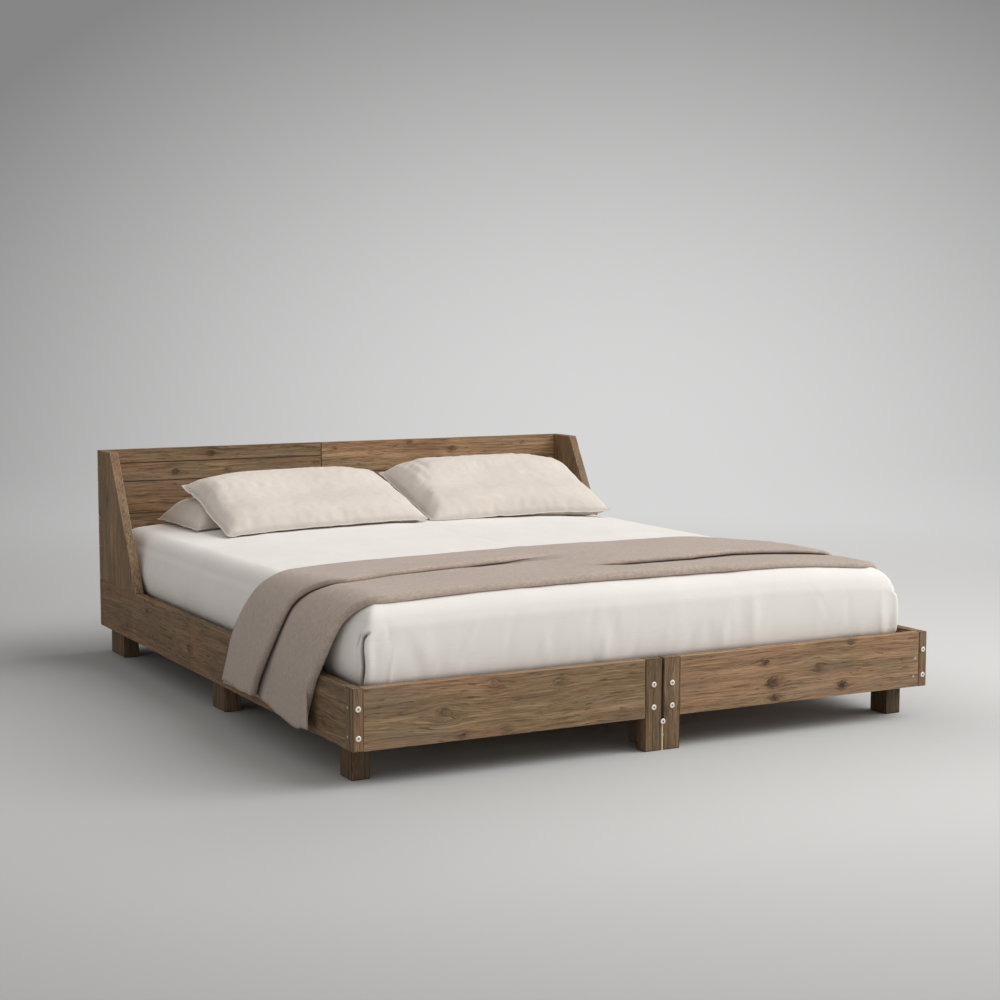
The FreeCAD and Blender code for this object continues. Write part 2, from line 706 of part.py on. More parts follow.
def throw_path():
    """Stations of the throw's underside, from the left hem over the bed to the right hem."""
    clear = soft_clearance
    grow = soft_clearance + sheet_thickness + clear
    edge_z = mattress_bottom + mattress_height - mattress_crown + grow
    radius = mattress_side_radius + grow
    inset = mattress_width + grow - radius
    left_centre = V(mattress_offset - inset, 0, edge_z - radius)
    right_centre = V(mattress_offset + inset, 0, edge_z - radius)
    left_rail = V(-half_width - clear, 0, rail_top + clear)
    right_rail = V(half_width + clear, 0, rail_top + clear)
    bearing, swing = leaving_angle(left_centre, radius, left_rail)
    left_angle = bearing - swing + 2 * math.pi
    bearing, swing = leaving_angle(right_centre, radius, right_rail)
    right_angle = bearing + swing
    crown_half = inset
    crown_radius = (crown_half ** 2 + mattress_crown ** 2) / (2 * mattress_crown)
    crown_centre = V(mattress_offset, 0, edge_z + mattress_crown - crown_radius)
    tilt = math.asin(crown_half / crown_radius)
    upright = math.pi / 2
    left = corner_path(left_centre, radius, left_angle, upright + tilt, shoulder_steps)
    top = corner_path(crown_centre, crown_radius, upright + tilt, upright - tilt, crown_steps)
    right = corner_path(right_centre, radius, upright - tilt, right_angle, shoulder_steps)
    left_turn = (left[0][1] - ACROSS).normalize()
    right_turn = (right[-1][1] + ACROSS).normalize()
    left_hem, right_hem = V(left_rail.x, 0, throw_hem_height), V(right_rail.x, 0, throw_hem_height)
    return {"hem_left": [(left_hem, -ACROSS)], "rail_left": [(left_rail, left_turn)],
            "left": left, "top": top[1:-1], "right": right,
            "rail_right": [(right_rail, right_turn)], "hem_right": [(right_hem, ACROSS)]}


def blend_shares(first, second, share):
    """Values part of the way from one set of shares to the next."""
    return tuple(a + (b - a) * share for a, b in zip(first, second))


def throw_section(point, outward, width, lean, fold_share):
    """A closed outline across the throw: two strips, each ending in a rounded fold towards the foot."""
    front = foot_y + throw_front_setback + lean
    rear = front + width
    fold = front + width * fold_share
    roll = throw_roll / 2
    slack = roll * (1 - math.sqrt(0.5))

    def at(y, height):
        return V(point.x, y, point.z) + outward * height

    return Part.Wire([
        Part.makeLine(at(front, 0), at(rear, 0)),
        Part.makeLine(at(rear, 0), at(rear, throw_layer)),
        Part.makeLine(at(rear, throw_layer), at(fold + roll, throw_roll)),
        Part.Arc(at(fold + roll, throw_roll), at(fold + slack, throw_roll - slack),
                 at(fold, throw_roll - roll)).toShape(),
        Part.makeLine(at(fold, throw_roll - roll), at(fold, throw_step)),
        Part.makeLine(at(fold, throw_step), at(front + roll, throw_roll)),
        Part.Arc(at(front + roll, throw_roll), at(front + slack, throw_roll - slack),
                 at(front, throw_roll - roll)).toShape(),
        Part.makeLine(at(front, throw_roll - roll), at(front, 0))])


def throw():
    """The folded throw, lofted along its path over the bed."""
    path = throw_path()
    stations = [(path["hem_left"][0], throw_hem_shares, throw_lean),
                (path["rail_left"][0], throw_rail_shares, throw_lean)]
    stations += [(place, throw_left_shares, throw_lean) for place in path["left"]]
    for i, place in enumerate(path["top"]):
        share = (i + 1) / (len(path["top"]) + 1)
        first, second, part = ((throw_left_shares, throw_middle_shares, 2 * share) if share < 0.5 else
                               (throw_middle_shares, throw_right_shares, 2 * share - 1))
        stations.append((place, blend_shares(first, second, part), 0))
    stations += [(place, throw_right_shares, throw_right_lean) for place in path["right"]]
    stations += [(path["rail_right"][0], throw_rail_shares, throw_right_lean),
                 (path["hem_right"][0], throw_hem_shares, throw_right_lean)]
    wires = [throw_section(point, outward, throw_width * width_share, lean * lean_share, fold_share)
             for (point, outward), (width_share, lean_share, fold_share), lean in stations]
    return Part.makeLoft(wires, True, True)


# Pillows

def pillow_section(x, front, back, crown, belly):
    """A lens across the pillow, with the sewn edge at its front and back."""
    middle = (front + back) / 2
    return Part.Wire([
        Part.makeLine(V(x, front, 0), V(x, front, pillow_edge)),
        Part.Arc(V(x, front, pillow_edge), V(x, middle, pillow_edge + crown), V(x, back, pillow_edge)).toShape(),
        Part.makeLine(V(x, back, pillow_edge), V(x, back, 0)),
        Part.Arc(V(x, back, 0), V(x, middle, -belly), V(x, front, 0)).toShape()])


def pillow(depth, crown):
    """A filled pillow whose front edge lies on the X axis, with sides that pull in between its corners."""
    half = pillow_width / 2
    stations = list(zip(pillow_station_shares, pillow_fullness_shares))
    wires = []
    for share, full in [(-share, full) for share, full in reversed(stations[1:])] + stations:
        draw = pillow_draw * (1 - share ** 2)
        wires.append(pillow_section(share * half, draw, depth - draw, crown * full, pillow_belly * full))
    form = Part.makeLoft(wires, True, False)
    low = -pillow_belly - overrun
    for side in (-1, 1):
        corner_front, corner_back = V(side * half, -overrun, low), V(side * half, depth + overrun, low)
        waist = V(side * (half - pillow_draw), depth / 2, low)
        outline = Part.Wire([Part.Arc(corner_front, waist, corner_back).toShape(),
                             Part.makeLine(corner_back, corner_front)])
        form = form.cut(Part.Face(outline).extrude(UP * (crown + pillow_edge - 2 * low)))
    return form


def settled(piece, support):
    """Lowers a piece until it lies just above what carries it."""
    for _ in range(settle_steps):
        drop = piece.distToShape(support)[0] - soft_clearance
        if drop < settle_tolerance:
            break
        piece.translate(-UP * drop)
    piece.translate(UP * soft_clearance)
    return piece


def leaned(piece, depth, support):
    """Lets a piece down about its lower edge until it leans just above another piece."""
    for _ in range(settle_steps):
        drop = piece.distToShape(support)[0] - soft_clearance
        if drop < settle_tolerance:
            break
        piece.rotate(piece.Placement.Base, ACROSS, -math.degrees(drop / depth))
    return piece


def pillows(sheet):
    """Two pillows lie against the headboard, and two more lean on them."""
    start = slat_top + pillow_start_height
    pieces = {}
    for name, back_x, front_x, back_crown in (
            ("left", back_pillow_left_x, front_pillow_left_x, back_pillow_left_crown),
            ("right", back_pillow_right_x, front_pillow_right_x, back_pillow_right_crown)):
        back = pillow(back_pillow_depth, back_crown)
        back.translate(V(back_x, plank_y - back_pillow_wall_gap - back_pillow_depth, start))
        pieces["pillow_back_" + name] = settled(back, sheet)
        front = pillow(pillow_depth, front_pillow_crown)
        front.rotate(V(0, 0, 0), ACROSS, front_pillow_start_lean)
        front.translate(V(front_x, plank_y - front_pillow_reach, start))
        pieces["pillow_front_" + name] = leaned(settled(front, sheet), pillow_depth, back)
    return pieces


def build():
    """Every node of the bed, by name."""
    holes = all_holes()
    nodes = {}
    for make in (corner_pieces, rails, centre_posts, seam_pieces, headboard, wings, legs, bearers, slats):
        nodes.update(make(holes))
    nodes.update(fasteners())
    nodes.update(mattresses())
    sheet = fitted_sheet()
    nodes["fitted_sheet"] = sheet
    nodes["throw"] = throw()
    nodes.update(pillows(sheet))
    return nodes


os.makedirs("parts", exist_ok=True)
for node_name, node_shape in build().items():
    node_shape.exportStep("parts/" + node_name + ".step")
    print(node_name, len(node_shape.Solids), "solids, valid", node_shape.isValid())
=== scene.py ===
import math
import bpy
import numpy as np
from mathutils import Euler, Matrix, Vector
from mathutils.bvhtree import BVHTree


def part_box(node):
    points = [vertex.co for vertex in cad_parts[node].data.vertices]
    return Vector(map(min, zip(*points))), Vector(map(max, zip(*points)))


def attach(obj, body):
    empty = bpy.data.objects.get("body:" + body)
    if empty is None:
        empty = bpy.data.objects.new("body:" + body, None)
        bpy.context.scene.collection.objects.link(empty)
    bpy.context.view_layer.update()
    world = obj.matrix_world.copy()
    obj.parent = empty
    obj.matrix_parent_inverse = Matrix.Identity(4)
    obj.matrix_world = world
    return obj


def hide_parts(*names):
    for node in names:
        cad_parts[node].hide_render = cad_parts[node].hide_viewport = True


# Platform bed of weathered boards, with a mattress pair, a fitted sheet, four pillows and a folded throw.
# Metres, +Z up. X runs across the bed and the foot end is towards -Y.

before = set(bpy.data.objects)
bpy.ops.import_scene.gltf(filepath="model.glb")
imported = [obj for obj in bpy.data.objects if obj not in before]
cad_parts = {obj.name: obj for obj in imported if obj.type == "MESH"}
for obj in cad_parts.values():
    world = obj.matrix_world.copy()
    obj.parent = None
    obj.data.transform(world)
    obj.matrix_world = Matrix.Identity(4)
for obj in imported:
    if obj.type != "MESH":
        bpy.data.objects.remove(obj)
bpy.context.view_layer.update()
X, Y, Z = 0, 1, 2

# Places from the frame
rail_low, rail_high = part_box("side_rail_left")
foot_low, foot_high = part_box("foot_rail_left")
sheet_low, sheet_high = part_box("fitted_sheet")
half_width = -rail_low.x
rail_top = rail_high.z
slat_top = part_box("slats_left")[1].z
foot_y = foot_low.y
plank_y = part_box("headboard_plank_low")[0].y
bed_middle_x = (sheet_low.x + sheet_high.x) / 2
bed_middle_y = (sheet_low.y + sheet_high.y) / 2


# Node trees

class Shader:
    """A material whose node tree is built by short calls."""

    def __init__(self, name):
        self.material = bpy.data.materials.new(name)
        self.material.use_nodes = True
        self.tree = self.material.node_tree
        self.surface = self.tree.nodes["Principled BSDF"]
        self.place = self.node("ShaderNodeTexCoord").outputs["Object"]

    def node(self, kind, *values, **settings):
        """A new node with these settings, whose first sockets get the values."""
        made = self.tree.nodes.new(kind)
        for key, value in settings.items():
            setattr(made, key, value)
        for socket, value in zip(made.inputs, values):
            self.put(socket, value)
        return made

    def put(self, socket, value):
        """Links a socket to another one, or sets its value."""
        if isinstance(value, bpy.types.NodeSocket):
            self.tree.links.new(value, socket)
        else:
            socket.default_value = value

    def math(self, operation, *values):
        return self.node("ShaderNodeMath", *values, operation=operation).outputs[0]

    def vector(self, operation, *values):
        made = self.node("ShaderNodeVectorMath", *values, operation=operation)
        return made.outputs["Value" if operation in ("LENGTH", "DOT_PRODUCT") else "Vector"]

    def noise(self, place, stretch, detail=2.0, roughness=0.5):
        """Noise from 0 to 1, with its cells per metre along each axis."""
        made = self.node("ShaderNodeTexNoise")
        self.put(made.inputs["Vector"], self.vector("MULTIPLY", place, stretch))
        self.put(made.inputs["Scale"], 1.0)
        self.put(made.inputs["Detail"], detail)
        self.put(made.inputs["Roughness"], roughness)
        return made.outputs["Fac"]

    def span(self, value, low, high, start=0.0, end=1.0):
        """Maps a range of values smoothly to another range."""
        return self.node("ShaderNodeMapRange", value, low, high, start, end,
                         interpolation_type="SMOOTHSTEP").outputs[0]

    def parts(self, place):
        return self.node("ShaderNodeSeparateXYZ", place).outputs

    def joined(self, x, y, z):
        return self.node("ShaderNodeCombineXYZ", x, y, z).outputs[0]

    def mix(self, share, first, second):
        made = self.node("ShaderNodeMix", data_type="RGBA")
        for index, value in ((0, share), (6, first), (7, second)):
            self.put(made.inputs[index], value)
        return made.outputs[2]

    def bump(self, height, distance):
        made = self.node("ShaderNodeBump")
        self.put(made.inputs["Strength"], 1.0)
        self.put(made.inputs["Distance"], distance)
        self.put(made.inputs["Height"], height)
        self.put(self.surface.inputs["Normal"], made.outputs["Normal"])

    def attribute(self, name):
        return self.node("ShaderNodeAttribute", attribute_name=name).outputs["Fac"]

    def set(self, **values):
        """Sets the surface's own sockets, with _ for a space in their names."""
        for key, value in values.items():
            self.put(self.surface.inputs[key.replace("_", " ")], value)


def tint(colour, level=1.0):
    return tuple(c * level for c in colour) + (1.0,)


# Wood

WOOD_LIGHT = (0.480, 0.318, 0.186)
WOOD_TAN = (0.310, 0.176, 0.093)
WOOD_OLIVE = (0.240, 0.160, 0.081)
WOOD_DARK = (0.085, 0.045, 0.022)
WOOD_GREY = (0.235, 0.190, 0.138)
KNOT = (0.024, 0.013, 0.008)
RING_PITCH = 0.0085
SWAY = 0.036
RIPPLE = 0.0070
GRAIN_DEPTH = 0.0009


def wood(name, grain, width, seed, level, grey, knots, rubbed_and_highlit):
    """Weathered softwood, whose fibres and growth rings run along one axis and part round the knots.
    Each knot is a place along the grain, a place across the board, a radius and a darkness.
    The edges are rubbed pale, partly as wear and partly as a painted highlight on the arrises, or else grimy."""
    rng = np.random.default_rng(seed)
    shader = Shader(name)
    parts = shader.parts(shader.place)
    along, across, deep = (parts[axis] for axis in (grain, width, 3 - grain - width))
    board = shader.joined(along, across, deep)
    shift = tuple(rng.uniform(-9, 9, 3))
    place = shader.vector("ADD", board, shift)

    # The lines of the grain: slow waves and small ripples, which pass each knot as water passes a stone
    sway, ripple, rough = (shader.math("SUBTRACT", shader.noise(place, stretch), 0.5)
                           for stretch in ((1.7, 8, 8), (11, 34, 34), (90, 150, 150)))
    bend = shader.math("ADD", shader.math("MULTIPLY", sway, SWAY), shader.math("MULTIPLY", ripple, RIPPLE))
    core, halo, crack = 0.0, 0.0, 0.0
    for knot_along, knot_across, radius, darkness in knots:
        offset = shader.vector("SUBTRACT", board, (knot_along, knot_across, 0))
        scaled = shader.vector("MULTIPLY", offset, (0.62 / radius, 1 / radius, 0))
        square = shader.vector("DOT_PRODUCT", scaled, scaled)
        off = shader.math("SUBTRACT", across, knot_across)
        share = shader.math("MINIMUM", shader.math("DIVIDE", 0.9, square), 1.0)
        bend = shader.math("SUBTRACT", bend, shader.math("MULTIPLY", off, share))
        away = shader.math("ADD", shader.math("SQRT", square), shader.math("MULTIPLY", rough, 1.5))
        rim = shader.math("ABSOLUTE", shader.math("SUBTRACT", away, 0.95))
        core = shader.math("MAXIMUM", core, shader.span(away, 0.95, 0.35, 0.0, darkness))
        halo = shader.math("MAXIMUM", halo, shader.span(away, 3.0, 0.8, 0.0, 0.4 + 0.6 * darkness))
        crack = shader.math("MAXIMUM", crack, shader.span(rim, 0.42, 0.06, 0.0, darkness))
    flow = shader.joined(along, shader.math("ADD", across, bend), deep)
    lines = shader.vector("ADD", flow, shift)
    pith = (0, rng.uniform(-0.05, 0.05), 0.050 + 0.03 * rng.random())
    radial = shader.vector("MULTIPLY", shader.vector("ADD", flow, pith), (0, 1, 1))
    ring = shader.math("FRACT", shader.math("DIVIDE", shader.vector("LENGTH", radial), RING_PITCH))
    ring = shader.math("MULTIPLY", shader.span(ring, 0.35, 0.88), shader.span(ring, 1.0, 0.90))

    hue = shader.noise(place, (2.2, 10, 10))
    wide = shader.noise(lines, (1.6, 42, 42), 3.0, 0.55)
    streak = shader.noise(lines, (6.5, 150, 150), 4.0, 0.66)
    fibre = shader.noise(lines, (18, 400, 400), 3.0, 0.65)
    fleck = shader.noise(lines, (24, 190, 190), 1.0, 0.5)
    blotch = shader.noise(place, (3.0, 8, 8), 3.0, 0.55)

    colour = shader.mix(shader.span(hue, 0.38, 0.62), tint(WOOD_OLIVE, level), tint(WOOD_TAN, level))
    span = shader.span
    layers = [
        (span(wide, 0.50, 0.72, 0.0, 0.42), WOOD_LIGHT), (span(wide, 0.48, 0.28, 0.0, 0.42), WOOD_DARK),
        (span(streak, 0.53, 0.68, 0.0, 0.62), WOOD_LIGHT), (span(streak, 0.48, 0.30, 0.0, 0.95), WOOD_DARK),
        (shader.math("MULTIPLY", ring, span(blotch, 0.35, 0.65, 0.05, 0.38)), WOOD_DARK),
        (span(fibre, 0.50, 0.30, 0.0, 0.50), WOOD_DARK), (span(fibre, 0.52, 0.70, 0.0, 0.40), WOOD_LIGHT),
        (span(blotch, 0.46, 0.70, 0.0, grey), WOOD_GREY), (span(blotch, 0.44, 0.24, 0.0, 0.45), WOOD_DARK),
        (span(fleck, 0.63, 0.72, 0.0, 0.60), tuple(0.7 * c for c in WOOD_DARK))]
    if knots:
        layers += [(shader.math("MULTIPLY", halo, span(fleck, 0.38, 0.60, 0.05, 0.70)), WOOD_DARK),
                   (shader.math("MULTIPLY", core, span(streak, 0.40, 0.60, 0.95, 0.60)), KNOT),
                   (shader.math("MULTIPLY", crack, span(fibre, 0.42, 0.60, 0.95, 0.20)), KNOT)]
    for share, paint in layers:
        colour = shader.mix(share, colour, tint(paint, level))
    # Painted highlight: on the rubbed boards the pale edges are partly wear and partly a painted highlight on
    # the arrises; the others get grimy edges.
    share, edge = (span(blotch, 0.30, 0.62, 0.05, 0.45), WOOD_LIGHT) if rubbed_and_highlit else (0.70, KNOT)
    wear_and_highlight_share = shader.math("MULTIPLY", shader.attribute("wear"), share)
    colour = shader.mix(wear_and_highlight_share, colour, tint(edge, 1.1 * level))
    height = shader.math("ADD", shader.math("MULTIPLY", streak, 1.2), fibre)
    height = shader.math("SUBTRACT", height, shader.math("MULTIPLY", ring, 0.35))
    shader.bump(height, GRAIN_DEPTH)
    shader.set(Base_Color=colour, Roughness=shader.span(streak, 0.3, 0.7, 0.60, 0.78),
               Specular_IOR_Level=0.35)
    return shader.material


def plain_wood(name, grain, seed, colour):
    """Planed, untreated softwood for the pieces that don't show."""
    rng = np.random.default_rng(seed)
    shader = Shader(name)
    stretch = [110.0, 110.0, 110.0]
    stretch[grain] = 3.0
    place = shader.vector("ADD", shader.place, tuple(rng.uniform(-9, 9, 3)))
    streak = shader.noise(place, tuple(stretch), 4.0, 0.6)
    wide = shader.noise(place, tuple(0.16 * s for s in stretch), 3.0, 0.5)
    tone = shader.mix(shader.span(wide, 0.35, 0.65), tint(colour, 0.82), tint(colour, 1.08))
    tone = shader.mix(shader.span(streak, 0.50, 0.72, 0.0, 0.55), tone, tint(colour, 0.55))
    shader.bump(streak, 0.0003)
    shader.set(Base_Color=tone, Roughness=shader.span(wide, 0.3, 0.7, 0.55, 0.70), Specular_IOR_Level=0.4)
    return shader.material


def metal(name, colour, roughness, metallic=1.0):
    """Plated steel with fine scratches and dull spots, and dirt where a point attribute says so."""
    shader = Shader(name)
    grit = shader.noise(shader.place, (900, 900, 900), 3.0, 0.6)
    dull = shader.noise(shader.place, (220, 220, 220), 2.0, 0.5)
    tone = shader.mix(shader.span(dull, 0.40, 0.70, 0.0, 0.6), tint(colour), tint(colour, 0.72))
    tone = shader.mix(shader.attribute("wear"), tone, (0.10, 0.055, 0.025, 1))
    shader.bump(grit, 0.00004)
    shader.set(Base_Color=tone, Metallic=metallic,
               Roughness=shader.span(grit, 0.3, 0.7, roughness, roughness + 0.18))
    return shader.material


# Fabrics

def cloth(name, colour, thread, roughness, sheen, mottle=0.06, bump=0.00025, fuzz=0.1, nap=(150, 150, 150)):
    """Plain woven cloth: crossing threads of uneven yarn with a raised nap and a slow change of tone.
    Its colour is darkened with painted shade in folds, grooves and seams, as much as a point attribute says."""
    shader = Shader(name)
    x, y, z = (shader.math("SINE", shader.math("MULTIPLY", part, 2 * math.pi / thread))
               for part in shader.parts(shader.place))
    weave = shader.math("ADD", shader.math("MULTIPLY", x, y), z)
    yarn = shader.noise(shader.place, (650, 650, 650), 3.0, 0.65)
    slub = shader.math("MAXIMUM", shader.noise(shader.place, (14, 420, 160), 2.0, 0.6),
                       shader.noise(shader.place, (420, 14, 160), 2.0, 0.6))
    slow = shader.noise(shader.place, (3.5, 3.5, 3.5), 3.0, 0.55)
    tone = shader.mix(shader.span(slow, 0.35, 0.65), tint(colour, 1 - mottle), tint(colour, 1 + mottle / 2))
    tone = shader.mix(shader.span(slub, 0.60, 0.78, 0.0, 0.35), tone, tint(colour, 0.84))
    tone = shader.mix(shader.span(yarn, 0.35, 0.65, 0.0, 0.30), tone, tint(colour, 0.90))
    nap = shader.noise(shader.place, nap, 4.0, 0.72)
    tone = shader.mix(shader.span(nap, 0.36, 0.64, 0.0, fuzz), tone, tint(colour, 0.72))
    # Painted shade: darkens the colour in folds, grooves and seams, as much as a point attribute says.
    tone = shader.mix(shader.attribute("fold"), tone, tint(colour, 0.22))
    height = shader.math("ADD", shader.math("MULTIPLY", weave, 0.25), shader.math("ADD", yarn, slub))
    height = shader.math("ADD", height, shader.math("MULTIPLY", nap, 12 * fuzz))
    shader.bump(height, bump)
    shader.set(Base_Color=tone, Roughness=roughness, Specular_IOR_Level=0.2, Sheen_Weight=sheen,
               Sheen_Roughness=0.5)
    return shader.material


# Meshes

def box_grid(xs, ys, zs):
    """Points and quads of a box's surface, with the given stations along its three sides."""
    shape = (len(xs), len(ys), len(zs))
    i, j, k = np.indices(shape)
    outer = ((i == 0) | (i == shape[0] - 1) | (j == 0) | (j == shape[1] - 1) | (k == 0) | (k == shape[2] - 1))
    index = np.full(shape, -1)
    index[outer] = np.arange(outer.sum())
    points = np.stack([xs[i[outer]], ys[j[outer]], zs[k[outer]]], 1)
    faces = []
    for axis in range(3):
        for side in (0, -1):
            layer = np.take(index, side, axis)
            quads = np.stack([layer[:-1, :-1], layer[1:, :-1], layer[1:, 1:], layer[:-1, 1:]], -1)
            quads = quads.reshape(-1, 4)
            faces.append(quads[:, ::-1] if (side == 0) != (axis == 1) else quads)
    return points, np.concatenate(faces)


def rounded(points, low, high, radius):
    """Moves the points of a box grid onto the same box with rounded edges. Also gives their normals."""
    low, high, radius = np.array(low), np.array(high), np.array(radius)
    core = np.clip(points, low + radius, high - radius)
    away = (points - core) / radius
    s = away ** 2
    t, u = s[:, [1, 2, 0]], s[:, [2, 0, 1]]
    ball = away * np.sqrt(1 - t / 2 - u / 2 + t * u / 3)
    return core + radius * ball, ball


def waves(points, length, seed, count=24):
    """Smooth irregular values of about -1 to 1. length is the usual wavelength along each axis."""
    rng = np.random.default_rng(seed)
    total = np.zeros(len(points))
    for _ in range(count):
        direction = rng.normal(size=3)
        direction /= np.linalg.norm(direction)
        pace = 2 * math.pi * direction * rng.uniform(0.6, 1.5) / np.array(length)
        total += np.sin(points @ pace + rng.uniform(0, 2 * math.pi))
    return total / math.sqrt(count)


def ease(values):
    """Smooth steps from 0 to 1."""
    values = np.clip(values, 0, 1)
    return values * values * (3 - 2 * values)


def bell(offset, width, power=2):
    """1 at an offset of 0, falling to 0 on both sides."""
    return np.exp(-(offset / width) ** power)


def smooth_line(values, rounds):
    """Evens out a row of values, in place, with both ends held."""
    for _ in range(rounds):
        values[1:-1] = (values[:-2] + 2 * values[1:-1] + values[2:]) / 4


def ring_quads(rows, around):
    """Numbers of the points of closed rings, and the quads between neighbouring rings."""
    index = np.arange(rows * around).reshape(rows, around)
    ahead = np.roll(index, -1, axis=1)
    return index, np.stack([index[:-1], index[1:], ahead[1:], ahead[:-1]], -1).reshape(-1, 4)


def linked(name, data):
    """A new object in the scene."""
    made = bpy.data.objects.new(name, data)
    bpy.context.scene.collection.objects.link(made)
    return made


def smooth_mesh(name, points, faces, material=None):
    mesh = bpy.data.meshes.new(name)
    mesh.from_pydata(np.asarray(points).tolist(), [], np.asarray(faces).tolist())
    if material:
        mesh.materials.append(material)
    mesh.polygons.foreach_set("use_smooth", [True] * len(mesh.polygons))
    return linked(name, mesh)


def piece(name, points, faces, material, body):
    """A smooth-shaded mesh that rides on a body."""
    made = smooth_mesh(name, points, faces, material)
    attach(made, body)
    return made


def set_attribute(made, name, values):
    attribute = made.data.attributes.new(name, "FLOAT", "POINT")
    attribute.data.foreach_set("value", np.asarray(values, np.float32))


# Boards

ARRIS = 0.0022
BOARD_CELL = 0.014
UNEVEN = 0.0004
DENT = 0.0020
WING_TOP_LENGTH = 0.115


def board_stations(low, high):
    """Places along one side of a board, close together at its eased edges."""
    ends = ARRIS * np.array([0.0, 0.5, 1.0])
    inner = np.linspace(low + 1.7 * ARRIS, high - 1.7 * ARRIS, max(2, round((high - low) / BOARD_CELL)))
    return np.concatenate([low + ends, inner, (high - ends)[::-1]])


def worn_board(node, material, seed, shape=None):
    """A board in a node's place, with slightly uneven faces and dented edges, marked for the material's pale
    rubbing with a painted highlight, or for grime.
    """
    low, high = (np.array(corner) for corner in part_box(node))
    points, faces = box_grid(*(board_stations(a, b) for a, b in zip(low, high)))
    gaps = np.sort(np.minimum(points - low, high - points), 1)
    edge = gaps[:, 1]
    placed, normal = rounded(points, low, high, [ARRIS] * 3)
    uneven = 0.0001 + UNEVEN * np.clip(1 + waves(placed, (0.16, 0.16, 0.16), seed), 0, 2) / 2
    nicks = np.clip(waves(placed, (0.045, 0.045, 0.045), seed + 1) - 0.9, 0, 1)
    dents = DENT * nicks * np.clip(1 - edge / 0.006, 0, 1)
    placed = placed - normal * (uneven + dents)[:, None]
    if shape:
        placed = shape(placed)
    name = node.replace("headboard_", "") + "_board"
    made = piece(name, placed, faces, material, "frame")
    # Marks the edges for their colour: pale rubbing that is partly a painted highlight, or grime.
    set_attribute(made, "wear", np.clip(1 - edge / 0.0035, 0, 1))
    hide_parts(node)


def wing_shape(points):
    """Cuts a wing's front edge back towards its top."""
    low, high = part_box("wing_left")
    rise = (points[:, 2] - low.z) / (high.z - low.z)
    share = 1 - rise * (1 - WING_TOP_LENGTH / (high.y - low.y))
    placed = points.copy()
    placed[:, 1] = high.y - (high.y - points[:, 1]) * share
    return placed


def post_shape(points):
    """Cuts a centre post back behind the mattresses, above the slats."""
    placed = points.copy()
    above = placed[:, 2] > slat_top
    placed[above, 1] = np.minimum(placed[above, 1], foot_high.y)
    return placed


# Knots of the foot rails, as place along the grain, place across it, radius and darkness
FOOT_LEFT_KNOTS = [(-0.310, 0.205, 0.009, 0.7), (-0.634, 0.158, 0.017, 0.15), (-0.577, 0.102, 0.007, 0.8),
                   (-0.458, 0.099, 0.008, 0.5), (-0.494, 0.220, 0.008, 0.5), (-0.600, 0.150, 0.008, 0.25)]
FOOT_RIGHT_KNOTS = [(0.322, 0.202, 0.007, 0.8), (0.500, 0.172, 0.010, 0.5), (0.350, 0.146, 0.013, 0.8),
                    (0.356, 0.102, 0.009, 0.8), (0.579, 0.118, 0.009, 0.9), (0.607, 0.232, 0.007, 0.6)]

